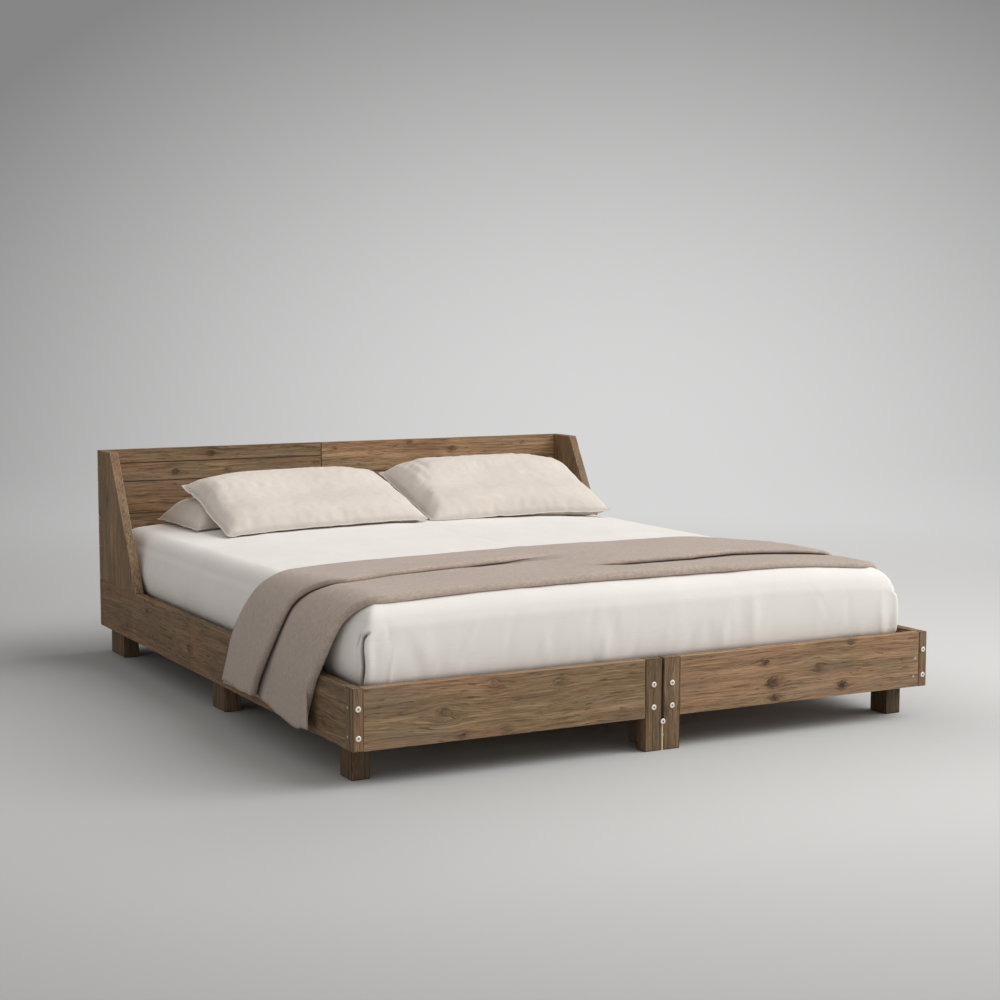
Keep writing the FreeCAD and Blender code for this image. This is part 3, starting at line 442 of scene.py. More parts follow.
# Boards that are rebuilt with worn edges: grain, width axis, tone, greyness and knots. The tone is partly the
# board's own and partly painted light and shade.
BOARDS = {
    "foot_rail_left": (X, Z, 1.04, 0.30, *FOOT_LEFT_KNOTS),
    "foot_rail_right": (X, Z, 1.16, 0.22, *FOOT_RIGHT_KNOTS),
    # Painted shade: the left side rail's low tone stands in for the shade along the bed's left side.
    "side_rail_left": (Y, Z, 0.82, 0.20, (0.532, 0.205, 0.006, 0.7), (-0.880, 0.130, 0.010, 0.4),
        (0.13, 0.15, 0.009, 0.5), (-0.33, 0.19, 0.008, 0.5)),
    "side_rail_right": (Y, Z, 0.95, 0.30, (0.41, 0.17, 0.010, 0.7), (-0.52, 0.13, 0.008, 0.6)),
    "centre_post_left": (Z, X, 0.69, 0.45),
    "centre_post_right": (Z, X, 0.87, 0.40),
    "corner_strip_left": (Z, X, 0.84, 0.40),
    "corner_strip_right": (Z, X, 0.92, 0.40),
    "corner_post_left": (Z, Y, 0.82, 0.40),
    "corner_post_right": (Z, Y, 0.95, 0.40),
    "headboard_batten_left": (Z, X, 0.85, 0.35),
    "headboard_batten_middle": (Z, X, 0.85, 0.35),
    "headboard_batten_right": (Z, X, 0.85, 0.35),
    "wing_left": (Z, Y, 0.94, 0.40, (0.52, 0.93, 0.010, 0.4)),
    "wing_right": (Z, Y, 0.86, 0.50, (0.44, 0.90, 0.009, 0.4)),
    "headboard_plank_low": (X, Z, 0.98, 0.35, (-0.21, 0.31, 0.009, 0.5), (0.55, 0.29, 0.008, 0.5)),
    "headboard_plank_middle": (X, Z, 1.06, 0.30, (-0.70, 0.41, 0.008, 0.4), (0.25, 0.42, 0.009, 0.5)),
    "headboard_plank_high": (X, Z, 1.02, 0.35, (0.10, 0.51, 0.009, 0.5), (0.62, 0.50, 0.007, 0.5)),
    "headboard_strip_lower": (X, Z, 1.04, 0.30, (-0.612, 0.592, 0.008, 0.5), (-0.426, 0.590, 0.006, 0.4),
        (-0.105, 0.600, 0.006, 0.6)),
    "headboard_strip_upper": (X, Z, 0.94, 0.30, (-0.487, 0.648, 0.008, 0.6)),
    # Painted light: this plank's high tone stands in for the light growing stronger towards the headboard's
    # right.
    "headboard_plank_top_right": (X, Z, 1.42, 0.20, (-0.031, 0.647, 0.006, 0.6),
        (0.253, 0.657, 0.007, 0.6), (0.424, 0.633, 0.008, 0.6), (0.705, 0.642, 0.006, 0.6)),
    "head_rail_left": (X, Z, 0.85, 0.35),
    "head_rail_right": (X, Z, 0.85, 0.35),
    # Painted shade: the foot legs' low tones stand in for the shadow under the foot rails.
    "foot_leg_left": (Z, Y, 0.46, 0.15),
    "foot_leg_right": (Z, Y, 0.38, 0.25),
    "middle_leg_left": (Z, Y, 0.60, 0.20),
    "middle_leg_right": (Z, Y, 0.78, 0.25),
    "head_leg_left": (Z, Y, 0.55, 0.25),
    "head_leg_right": (Z, Y, 0.80, 0.25),
}
# Boards with pale edges, partly rubbed wear and partly a painted highlight on the arrises.
RUBBED_AND_HIGHLIT = ("foot_rail", "side_rail", "wing")

# Woods of the inner pieces, with the axis of their grain
PLAIN_GRAIN = {"slats": X, "side_cleat": Y, "foot_ledger": X, "centre_beam": Y, "corner_block": Z,
               "seam_backing_block": Z, "centre_leg": Z, "seam_laths": Z, "dowels": Z}
SOFTWOOD = (0.52, 0.36, 0.21)
PALE_SOFTWOOD = (0.66, 0.50, 0.32)
# Painted shade: this dark tone of the blocks, centre legs and foot ledger stands in for the shadow under the
# rails.
PAINTED_SHADE_SOFTWOOD = (0.115, 0.072, 0.043)
WOOD_COLOURS = {"seam_laths": PALE_SOFTWOOD, "dowels": PALE_SOFTWOOD, "corner_block": PAINTED_SHADE_SOFTWOOD,
                "seam_backing_block": PAINTED_SHADE_SOFTWOOD, "centre_leg": PAINTED_SHADE_SOFTWOOD,
                "foot_ledger": PAINTED_SHADE_SOFTWOOD}
SHAPES = {"wing": wing_shape, "centre_post": post_shape}


def dress(node, material):
    """Gives a CAD node a material in place of its own."""
    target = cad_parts[node]
    if not target.data.materials:
        target.data.materials.append(material)
    for slot in target.material_slots:
        slot.material = material


def make_woodwork():
    for seed, (node, (grain, width, level, grey, *knots)) in enumerate(BOARDS.items()):
        material = wood("wood_" + node, grain, width, 100 + seed, level, grey, knots, node.startswith(RUBBED_AND_HIGHLIT))
        worn_board(node, material, 300 + 2 * seed, SHAPES.get(node.rsplit("_", 1)[0]))
    for seed, (start, grain) in enumerate(PLAIN_GRAIN.items()):
        material = plain_wood("softwood_" + start, grain, 50 + seed, WOOD_COLOURS.get(start, SOFTWOOD))
        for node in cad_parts:
            if node.startswith(start):
                dress(node, material)


# Radius and height of the head's rings, from the wood to its face
BOLT_PROFILE = [(0.0074, 0.0), (0.0075, 0.0008), (0.0072, 0.0016), (0.0064, 0.0022), (0.0052, 0.0024),
                (0.0038, 0.0024)]
BOLT_FACE = BOLT_PROFILE[-1][1]
BOLT_SPACE = 0.017
BOLT_SEGMENTS = 36
SOCKET_RADIUS = 0.0032
SOCKET_DEPTH = 0.0021
SOCKET_BEVEL = 0.0003


def bolt_head(x, z):
    """Points and quads of one bolt's head on the foot face: a rounded rim about a hexagon socket."""
    angles = np.arange(BOLT_SEGMENTS) * 2 * math.pi / BOLT_SEGMENTS
    half = math.pi / 6
    hexagon = SOCKET_RADIUS * math.cos(half) / np.cos((angles + half) % (2 * half) - half)
    rings = [(np.full(BOLT_SEGMENTS, radius), rise) for radius, rise in BOLT_PROFILE]
    rings += [(hexagon + SOCKET_BEVEL, BOLT_FACE), (hexagon, BOLT_FACE - SOCKET_BEVEL),
              (hexagon, BOLT_FACE - SOCKET_DEPTH),
              (hexagon * 0.02, BOLT_FACE - SOCKET_DEPTH - SOCKET_BEVEL)]
    points = [(x + radius * math.cos(angle), foot_y - rise, z + radius * math.sin(angle))
              for radii, rise in rings for angle, radius in zip(angles, radii)]
    return points, ring_quads(len(rings), BOLT_SEGMENTS)[1][:, [0, 3, 2, 1]]


def bolt_centres():
    """Where the connector bolts' heads sit on the foot face."""
    spots = []
    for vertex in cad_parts["connector_bolts"].data.vertices:
        x, y, z = vertex.co
        if y < foot_y - 0.0005:
            for spot in spots:
                if max(abs(spot[0][0] - x), abs(spot[0][1] - z)) < BOLT_SPACE:
                    spot.append((x, z))
                    break
            else:
                spots.append([(x, z)])
    return [[(min(places) + max(places)) / 2 for places in zip(*spot)] for spot in spots]


def make_bolts(material):
    points, faces = [], []
    for x, z in bolt_centres():
        head, quads = bolt_head(x, z)
        faces.append(quads + len(points))
        points += head
    made = piece("bolt_heads", points, np.concatenate(faces), material, "frame")
    deep = foot_y - BOLT_FACE + 0.001
    set_attribute(made, "wear", [float(p[Y] > deep and abs(p[Y] - foot_y) > 1e-5) for p in points])
    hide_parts("connector_bolts")


def make_fasteners():
    make_bolts(metal("nickel", (0.97, 0.91, 0.80), 0.34, 0.25))
    zinc = metal("zinc", (0.60, 0.60, 0.58), 0.34)
    dull_zinc = metal("dull_zinc", (0.66, 0.62, 0.54), 0.40)
    for node in ("barrel_nuts", "beam_bolts"):
        dress(node, zinc)
    for node in ("rail_screws", "slat_screws", "headboard_screws", "frame_screws"):
        dress(node, dull_zinc)


# Mattress pair and fitted sheet

SHEET_THICKNESS = 0.0015
CROWN = 0.016
BULGE = 0.010
SIDE_FULLNESS = 0.021
EDGE_FALL = 0.014
SHOULDER = np.array([0.058, 0.066, 0.060])
CORNER_POWER = 7.0
SHEET_CELL = 0.010
TUCK = 0.090
SEAM_DEPTH = 0.0020
SEAM_WIDTH = 0.012
form_low = np.array([sheet_low.x + BULGE, sheet_low.y + BULGE, sheet_low.z + 0.0002])
form_high = np.array([sheet_high.x - BULGE, sheet_high.y - BULGE, sheet_high.z - CROWN])


def crown_rise(x, y):
    """Height of the top above its edges: crowned across the bed, with a soft valley between the mattresses
    and a fall towards both sides."""
    half = (form_high[0] - form_low[0]) / 2
    across = np.clip((x - bed_middle_x) / half, -1, 1)
    along = (y - bed_middle_y) / ((form_high[1] - form_low[1]) / 2)
    rise = CROWN * (1 - across ** 2) * (1 - 0.60 * np.clip(np.abs(along), 0, 1) ** 4)
    past = np.clip((np.abs(across) - 0.60) / 0.40, 0, 1) ** 1.5
    share = np.where(x < bed_middle_x, 0.25 + 0.75 * ease((y + 0.45) / 0.5), 1.0)
    rise = rise - EDGE_FALL * past * share
    return rise - SEAM_DEPTH * bell(x - bed_middle_x, SEAM_WIDTH) * ease((y + 0.95) / 0.6)


def end_drop(y):
    """How far the bedding's top falls below its level in the rounding at both ends."""
    half = (form_high[1] - form_low[1]) / 2
    past = np.clip((np.abs(y - bed_middle_y) - half) / SHOULDER[1] + 1, 0, 0.999)
    return SHOULDER[2] * (1 - np.sqrt(1 - past ** 2))


def bedding(points, shrink=0.0):
    """Moves points of the plain box to the bedding's rounded, bulged and crowned form."""
    placed, normal = rounded(points, form_low, form_high, SHOULDER)
    core = np.clip(points, form_low + SHOULDER, form_high - SHOULDER)
    length = np.maximum(np.linalg.norm(normal[:, :2], axis=1), 1e-9)
    share = np.abs(normal[:, :2]) / length[:, None]
    square = (share ** CORNER_POWER).sum(1) ** (-1 / CORNER_POWER)
    placed[:, :2] = core[:, :2] + (placed[:, :2] - core[:, :2]) * np.where(length > 1e-6, square, 1)[:, None]
    lift = ease((placed[:, 2] - form_low[2]) / (form_high[2] - form_low[2]))
    placed[:, 2] += lift * crown_rise(placed[:, 0], placed[:, 1])
    height = (points[:, 2] - form_low[2]) / (form_high[2] - form_low[2] - SHOULDER[2] / 2)
    outward = np.clip(1 - (2 * height - 1) ** 2, 0, 1) ** 1.5
    placed[:, :2] += normal[:, :2] * np.outer(outward, (SIDE_FULLNESS, BULGE))
    return placed - normal * shrink, normal


def dense_stations(low, high, cell, edge, edge_cell):
    """Stations with a finer spacing within a distance of both ends."""
    near = np.arange(0, edge, edge_cell)
    middle = np.linspace(low + edge, high - edge, round((high - low - 2 * edge) / cell) + 1)
    return np.concatenate([low + near, middle, (high - near)[::-1]])


def perimeter(points):
    """Distance round the bedding from its left foot corner, first along the foot and then up the right side.
    Also gives the form's width and length."""
    x, y = points[:, 0] - form_low[0], points[:, 1] - form_low[1]
    wide, long = form_high[0] - form_low[0], form_high[1] - form_low[1]
    gaps = np.stack([y, wide - x, long - y, x], 1)
    runs = np.stack([x, wide + y, 2 * wide + long - x, 2 * wide + 2 * long - y], 1)
    return runs[np.arange(len(points)), gaps.argmin(1)], wide, long


def side_creases(run, z, length, seed, count):
    """Soft upright folds round the sides, slanted and of different lengths."""
    rng = np.random.default_rng(seed)
    total = np.zeros(len(run))
    height = (z - form_low[2]) / (form_high[2] - form_low[2])
    for _ in range(count):
        place, slant, curve = rng.uniform(0, length), rng.normal(0, 0.22), rng.normal(0, 1.5)
        width = rng.uniform(0.006, 0.024)
        depth = rng.uniform(0.0005, 0.0024) * rng.choice([-1, 1], p=[0.55, 0.45])
        middle, reach = rng.uniform(0.05, 0.72), rng.uniform(0.10, 0.34)
        offset = run - place - slant * (z - rail_top) - curve * (z - rail_top) ** 2
        offset = (offset + length / 2) % length - length / 2
        total += depth * np.exp(-(offset / width) ** 2 - ((height - middle) / reach) ** 2)
    return total


PLEAT_TOP = 0.372
PLEAT_DEPTH = 0.012
PLEAT_WIDTH = 0.0034


def corner_pleats(run, z, length, corners):
    """A tucked flap at each upright corner: a narrow dark groove with a fuller fold on one side of it.
    Also gives how much painted shade darkens the groove."""
    total, shade = np.zeros(len(run)), np.zeros(len(run))
    strength = ease((PLEAT_TOP - z) / 0.020)
    for corner, side in corners:
        line = -0.001 - 0.07 * (0.36 - z) + 0.004 * np.sin((z - 0.24) * 42)
        line += 0.010 * ease((z - 0.350) / 0.025)
        offset = side * ((run - corner + length / 2) % length - length / 2) - line
        groove = 1.8 * bell(offset, PLEAT_WIDTH, 4)
        flap = 0.34 * bell(offset - 0.011, 0.008)
        hollow = 0.30 * bell(offset + 0.016, 0.014)
        second = 0.35 * bell(offset + 0.030 - 0.12 * (z - 0.24), 0.0035) * ease((z - 0.315) / 0.03)
        total += PLEAT_DEPTH * strength * (flap - groove - hollow - second)
        shade = np.maximum(shade, strength * (bell(offset, 0.0036, 4) + second))
    return total, np.clip(shade, 0, 1)


def make_sheet(material):
    """One sheet over both mattresses, creased on its sides, pleated at its corners and tucked under."""
    stations = [dense_stations(form_low[axis], form_high[axis], SHEET_CELL, 0.066, 0.0017) for axis in (X, Y)]
    heights = np.concatenate([form_low[2] + np.array([0.0, 0.012, 0.030]),
                              np.linspace(form_low[2] + 0.045, form_high[2], 34)])
    points, faces = box_grid(*stations, heights)
    run, wide, long = perimeter(points)
    length = 2 * (wide + long)
    placed, normal = bedding(points)
    upright = np.clip(np.linalg.norm(normal[:, :2], axis=1), 0, 1) ** 2
    free = ease((points[:, 2] - form_low[2]) / 0.05)
    side = side_creases(run, points[:, 2], length, 11, 280)
    corners = [(0, 1), (wide, -1), (wide + long, 1), (2 * wide + long, -1)]
    pleats, shade = corner_pleats(run, points[:, 2], length, corners)
    side = side + pleats
    top = 0.0012 * waves(placed, (0.35, 0.30, 1), 21) + 0.0006 * waves(placed, (0.09, 0.14, 1), 22)
    shift = upright * side * free + (1 - upright) * top * (points[:, 2] > form_low[2] + 0.1)
    placed += normal * shift[:, None]
    keep = ~((points[faces][:, :, 2].max(1) <= form_low[2] + 1e-9)
             & (np.abs(points[faces][:, :, 0] - bed_middle_x).max(1) < wide / 2 - TUCK)
             & (np.abs(points[faces][:, :, 1] - bed_middle_y).max(1) < long / 2 - TUCK))
    made = piece("sheet", placed, faces[keep], material, "mattress")
    # Painted shade: darkens the sheet in the corner pleats' grooves.
    set_attribute(made, "fold", shade * upright)
    solid = made.modifiers.new("cloth", "SOLIDIFY")
    solid.thickness = SHEET_THICKNESS
    solid.offset = -1.0
    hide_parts("fitted_sheet")
    return placed, faces


QUILT_PITCH = 0.12
QUILT_DEPTH = 0.0012
PAD_INSET = 0.006
PAD_CORNER_INSET = 0.026
PAD_CORNER_REACH = 0.045
PAD_SEAM_RADIUS = 0.028


def make_mattresses(material):
    """Two mattresses under the sheet, each with a rounded inner edge and quilting on its faces."""
    for side, node in ((-1, "mattress_left"), (1, "mattress_right")):
        inner = bed_middle_x + side * 0.0004
        outer = form_low[0] if side < 0 else form_high[0]
        xs = dense_stations(min(inner, outer), max(inner, outer), 0.02, 0.06, 0.008)
        ys = dense_stations(form_low[1], form_high[1], 0.02, 0.066, 0.008)
        zs = dense_stations(form_low[2], form_high[2], 0.02, 0.06, 0.01)
        points, faces = box_grid(xs, ys, zs)
        placed, normal = bedding(points, SHEET_THICKNESS + 0.0015)
        turns = np.sin(placed[:, :2] * math.pi / QUILT_PITCH)
        quilt = QUILT_DEPTH * (1 - np.abs(turns[:, 0] * turns[:, 1]))
        run, wide, long = perimeter(points)
        corners = (0, wide, wide + long, 2 * wide + long, 2 * (wide + long))
        corner = np.min([np.abs(run - place) for place in corners], 0)
        level = np.abs(normal[:, 2])
        inset = PAD_INSET + PAD_CORNER_INSET * bell(corner, PAD_CORNER_REACH)
        placed -= normal * (quilt * level + (1 - level) * inset)[:, None]
        near = np.clip(1 - np.abs(points[:, 0] - inner) / PAD_SEAM_RADIUS, 0, 1)
        drop = PAD_SEAM_RADIUS * (1 - np.sqrt(1 - near ** 2))
        placed[:, 2] -= drop * ease((placed[:, 2] - form_low[2]) / 0.2 - 0.2)
        made = piece(node + "_pad", placed, faces, material, "mattress")
        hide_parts(node)


# Throw

THROW_CLOTH = 0.0034
THROW_GAP = 0.0008
HEM_HEIGHT = 0.100
PATH_STEP = 0.010
FRONT_ROLL = 0.0085
FOLD_ROLL = 0.0066
THROW_SHOULDER = 0.425
THROW_BULGE = 0.012
THROW_MIDDLE = -0.65


def upper_hull(points):
    """The line that a string pulled over the points takes, from left to right."""
    line = []
    for p in sorted(map(tuple, points)):
        while len(line) > 1:
            (ax, az), (bx, bz) = line[-2:]
            if (bx - ax) * (p[1] - az) - (bz - az) * (p[0] - ax) < 0:
                break
            line.pop()
        line.append(p)
    return np.array(line)


def sideways(line):
    """Directions at right angles to a line, on its left."""
    along = np.gradient(line, axis=0)
    along /= np.maximum(np.linalg.norm(along, axis=1), 1e-9)[:, None]
    return np.stack([-along[:, 1], along[:, 0]], 1)


def throw_path():
    """Places and outward directions along the bed's section, from the left hem to the right hem."""
    span = np.linspace(form_low[0], form_high[0], 400)
    column = np.linspace(form_low[2] + 0.05, form_high[2], 80)
    low, high = form_low[0], form_high[0]
    flat = np.concatenate([np.stack([span, np.full(400, form_high[2])], 1),
                           np.stack([np.full(80, low), column], 1), np.stack([np.full(80, high), column], 1)])
    section, _ = bedding(np.stack([flat[:, 0], np.full(len(flat), THROW_MIDDLE), flat[:, 1]], 1))
    angles = np.linspace(0, math.pi, 60)
    rail_radius = 0.004
    corners = [[side * (half_width - rail_radius) + rail_radius * math.cos(a), rail_top - rail_radius
                + rail_radius * math.sin(a)] for side in (-1, 1) for a in angles]
    line = upper_hull(np.concatenate([section[:, [0, 2]], corners]))
    line = np.concatenate([[[line[0, 0], HEM_HEIGHT]], line, [[line[-1, 0], HEM_HEIGHT]]])
    run = np.concatenate([[0], np.cumsum(np.linalg.norm(np.diff(line, axis=0), axis=1))])
    steps = np.linspace(0, run[-1], round(run[-1] / PATH_STEP) + 1)
    path = np.stack([np.interp(steps, run, line[:, axis]) for axis in (0, 1)], 1)
    smooth_line(path, 2)
    share = np.clip((THROW_SHOULDER - path[:, 1]) / (THROW_SHOULDER - rail_top), 0, 1)
    path[:, 0] += np.sign(path[:, 0]) * THROW_BULGE * np.sin(math.pi * share)
    return path, sideways(path), steps


# Edges and folds of the throw at stations along its path, from the left hem to the right hem. Each row is
# the height or the place across the bed, then the places along it of front edge, first fold and rear edge.
THROW_LEFT_DROP = [
    (0.100, -0.772, -0.450, -0.165), (0.160, -0.808, -0.488, -0.198), (0.220, -0.846, -0.538, -0.230),
    (0.277, -0.880, -0.572, -0.258), (0.333, -0.898, -0.598, -0.284), (0.360, -0.903, -0.604, -0.300),
    (0.388, -0.908, -0.614, -0.312), (0.405, -0.940, -0.638, -0.336), (0.419, -0.962, -0.674, -0.360)]
THROW_TOP = [
    (-0.769, -0.971, -0.704, -0.370), (-0.740, -0.974, -0.716, -0.372), (-0.700, -0.973, -0.708, -0.369),
    (-0.590, -0.968, -0.694, -0.356), (-0.470, -0.965, -0.676, -0.360), (-0.350, -0.963, -0.656, -0.361),
    (-0.230, -0.962, -0.648, -0.352), (0.010, -0.965, -0.620, -0.338), (0.249, -0.965, -0.590, -0.332),
    (0.429, -0.961, -0.575, -0.322), (0.608, -0.966, -0.560, -0.306), (0.728, -0.975, -0.545, -0.345)]
THROW_RIGHT_DROP = [
    (0.400, -0.930, -0.540, -0.345), (0.242, -0.895, -0.500, -0.300), (0.100, -0.870, -0.480, -0.280)]
SECOND_FOLD = [(-0.300, -0.810), (0.010, -0.815), (0.250, -0.800), (0.430, -0.758),
               (0.600, -0.755), (0.700, -0.760), (0.830, -0.720)]
HEM_LINE = [(-0.790, 0.102), (-0.772, 0.095), (-0.745, 0.091), (-0.480, 0.117),
            (-0.430, 0.121), (-0.150, 0.112)]
UNDER_HEM = 0.010


def throw_lines(path, steps):
    """Front edge, first fold and rear edge at every station of the path."""
    middle = len(path) // 2
    left_z, right_z = path[:middle, 1], path[middle:, 1]
    rows = []
    for z, *places in THROW_LEFT_DROP:
        rows.append((steps[int(np.abs(left_z - z).argmin())], *places))
    for x, *places in THROW_TOP:
        rows.append((steps[int(np.abs(path[:, 0] - x + (path[:, 1] < 0.4) * 9).argmin())], *places))
    for z, *places in THROW_RIGHT_DROP:
        rows.append((steps[middle + int(np.abs(right_z - z).argmin())], *places))
    rows = np.array(sorted(rows))
    lines = [np.interp(steps, rows[:, 0], rows[:, column]) for column in (1, 2, 3)]
    for line in lines:
        smooth_line(line, 8)
    return lines


def arc(centre, radius, start, end, count):
    angles = np.radians(np.linspace(start, end, count))
    return np.stack([centre[0] + radius * np.cos(angles), centre[1] + radius * np.sin(angles)], 1)


def run_to(start, end, count):
    shares = np.linspace(0, 1, count)[:, None]
    return np.array(start) * (1 - shares) + np.array(end) * shares


def fold_line(place, low, roll, tuck):
    """A pleat of the upper layer, from the side: back under the rear strip, and forward again to a roll."""
    under = low + 0.0026
    back = run_to((place + 0.010, low), (place + 0.010 + tuck, under - 0.0006), 8)
    turn = arc((place + 0.010 + tuck, under + 0.0016), 0.0022, -90, 90, 5)
    forward = run_to((place + 0.010 + tuck, under + 0.0038), (place + 0.004, under + 0.0040), 8)
    front = arc((place + 0.002 + roll, under + 0.0030 + roll), roll, 250, 90, 12)
    return np.concatenate([back, turn, forward, front])


FOLD_SHADE = np.concatenate([np.zeros(12), [0.45, 0.9], np.full(21, 0.9), [0.9, 0.6, 0.3], np.zeros(9)])


def throw_midline(front, folds, rear, fullness):
    """The cloth's middle line across the throw: the bottom layer forwards, then the upper one back.
    Each fold is a place along the bed and a strength from 0 to 1. Also gives the shade inside the folds."""
    base = THROW_CLOTH / 2 + THROW_GAP
    upper = base + THROW_CLOTH + 0.0006
    roll = FRONT_ROLL * fullness
    bottom = run_to((rear, base), (front + 0.014, base), 30)
    turn = arc((front + roll, base + roll), roll, 270, 90, 14)
    crest = base + 2 * roll
    lines = [bottom, turn]
    shades = [np.zeros(len(bottom)), np.zeros(len(turn))]
    here = np.array([front + 0.020, crest - 0.0004])
    for place, strength in folds:
        folded = fold_line(place, upper, FOLD_ROLL * fullness, 0.02 + 0.04 * strength)
        flat = run_to((place - 0.02, here[1] - 0.002), (place + 0.06, here[1] - 0.003), len(folded))
        mixed = flat * (1 - strength) + folded * strength
        approach = run_to(here, mixed[0], 16)
        approach[:, 1] += np.sin(np.linspace(0, math.pi, 16)) * 0.0030 * strength
        lines += [approach[1:-1], mixed]
        shades += [strength * FOLD_SHADE[:14], strength * FOLD_SHADE[14:]]
        here = mixed[-1] + np.array([0.010, -0.0004])
    tail = run_to(here, (rear - 0.002, upper), 26)
    sag = ease(np.linspace(0, 1, 26))
    tail[:, 1] = here[1] * (1 - sag) + upper * sag
    lines.append(tail)
    shades.append(np.zeros(len(tail)))
    return np.concatenate(lines), np.concatenate(shades), len(bottom)


def thick_outline(line, thickness):
    """Both sides of a line of cloth, as one closed outline."""
    across = sideways(line) * thickness / 2
    return np.concatenate([line + across, (line - across)[::-1]])


def hang_hem(points, under):
    """Gives the drops their uneven hem, and lets the bottom layer hang a little lower."""
    low = UNDER_HEM * under * ease((points[:, 1] + 0.77) / 0.15)
    reach = rail_top - np.interp(points[:, 1], *np.array(HEM_LINE).T) + low
    below = np.clip(rail_top - points[:, 2], 0, None)
    points[:, 2] -= below * (reach / (rail_top - HEM_HEIGHT) - 1)


def make_throw(material):
    """A blanket folded in half, laid over the bed with its fold to the foot and pleated along its length."""
    path, outward, steps = throw_path()
    fronts, firsts, rears = throw_lines(path, steps)
    rows, shades = [], []
    for i, (spot, normal) in enumerate(zip(path, outward)):
        first = (firsts[i], ease((0.02 - spot[0]) / 0.34))
        second = (np.interp(spot[0], *np.array(SECOND_FOLD).T), ease((spot[0] + 0.14) / 0.24))
        fullness = 1 - 0.35 * ease((spot[0] - 0.2) / 0.5)
        if spot[0] < 0:
            fullness += 0.45 * ease((0.43 - spot[1]) / 0.12)
        line, shade, bottom = throw_midline(fronts[i], [second, first], rears[i], fullness)
        shades.append(np.concatenate([shade, shade[::-1]]))
        outline = thick_outline(line, THROW_CLOTH)
        row = np.stack([spot[0] + normal[0] * outline[:, 1], outline[:, 0],
                        spot[1] + normal[1] * outline[:, 1]], 1)
        surface = (crown_rise(row[:, 0], row[:, 1]) - end_drop(row[:, 1])
                   - crown_rise(row[:, 0], np.full(len(row), THROW_MIDDLE)))
        row[:, 2] += surface * ease(normal[1])
        under = ease((bottom + 12 - np.arange(len(line))) / 12)
        hang_hem(row, np.concatenate([under, under[::-1]]))
        soft = waves(row, (0.45, 0.15, 0.45), 31) + 0.5 * waves(row, (0.16, 0.06, 0.16), 32)
        lift = 0.0016 * np.clip(outline[:, 1] / 0.012, 0, 1) * soft
        rows.append(row + np.outer(lift, [normal[0], 0, normal[1]]))
    grid = np.array(rows)
    stations, around = grid.shape[:2]
    index, quads = ring_quads(stations, around)
    caps = [[row[j], row[j + 1], row[around - 2 - j], row[around - 1 - j]]
            for row in (index[0], index[-1][::-1]) for j in range(around // 2 - 1)]
    made = piece("throw_blanket", grid.reshape(-1, 3), np.concatenate([quads, np.array(caps)]), material,
                 "throw")
    # Painted shade: darkens the cloth inside the folds and under their rolls.
    set_attribute(made, "fold", np.concatenate(shades))
    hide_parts("throw")
    line, _, _ = throw_midline(fronts[40], [(SECOND_FOLD[0][1], 0.0), (firsts[40], 1.0)], rears[40], 1.0)
    width = float(np.linalg.norm(np.diff(line, axis=0), axis=1).sum())


# Pillows

PILLOW_CELL = 0.012
SEWN_EDGE = 0.003
FLANGE = 0.006
FLANGE_HALF = 0.0011
GATHER_DEPTH = 0.0022
PILLOW_GAP = 0.0015
PILLOW_FRAMES = 24


def pouch(width, depth, plump):
    """Two layers of cloth joined round their edge, slightly filled. Its front edge lies on the X axis."""
    xs = np.linspace(-width / 2, width / 2, round(width / PILLOW_CELL) + 1)
    ys = np.linspace(0, depth, round(depth / PILLOW_CELL) + 1)
    points, faces = box_grid(xs, ys, np.array([-SEWN_EDGE / 2, SEWN_EDGE / 2]))
    across, along = 2 * points[:, 0] / width, 2 * points[:, 1] / depth - 1
    fill = (1 - across ** 4) * (1 - along ** 4)
    points[:, 2] += np.sign(points[:, 2]) * plump / 2 * np.clip(fill, 0, 1) ** 0.7
    return points, faces, (len(xs), len(ys))


def inflated(points, faces, volume, frames, seed):
    """Fills a pouch with air in a cloth simulation, until it holds the given volume."""
    rng = np.random.default_rng(seed)
    start = points + rng.normal(0, 0.0008, points.shape)
    made = smooth_mesh("pouch", start, faces)
    settings = made.modifiers.new("cloth", "CLOTH").settings
    for key, value in dict(
            quality=5, mass=0.25, tension_stiffness=25, compression_stiffness=25, shear_stiffness=7,
            bending_stiffness=0.5, tension_damping=10, compression_damping=10, bending_damping=1,
            air_damping=3, use_pressure=True, use_pressure_volume=True, target_volume=volume,
            uniform_pressure_force=0, pressure_factor=150).items():
        setattr(settings, key, value)
    settings.effector_weights.gravity = 0
    scene = bpy.context.scene
    for number in range(1, frames + 1):
        scene.frame_set(number)
    shape = made.evaluated_get(bpy.context.evaluated_depsgraph_get())
    out = np.empty(len(points) * 3)
    shape.data.vertices.foreach_get("co", out)
    scene.frame_set(1)
    bpy.data.objects.remove(made)
    return out.reshape(-1, 3)


def filled_out(points, flat, width, depth):
    """Makes a pouch as thick towards its ends and its long edges as a full pillow is."""
    placed = points.copy()
    crest = np.abs(points[:, 2]).max()
    for axis, size, start, power, most in ((0, width, -0.5, 9.0, 4.0), (1, depth, 0.0, 5.0, 1.8)):
        stations, member = np.unique(np.round(flat[:, axis], 5), return_inverse=True)
        found = np.array([np.abs(placed[member == number, 2]).max() for number in range(len(stations))])
        place = np.abs(2 * (stations / size - start) - 1)
        wanted = crest * np.sqrt(np.clip(1 - place ** power, 0, 1))
        factor = np.clip(wanted / np.maximum(found, 1e-4), 1, most)
        smooth_line(factor, 4)
        placed[:, 2] *= factor[member]
    return placed


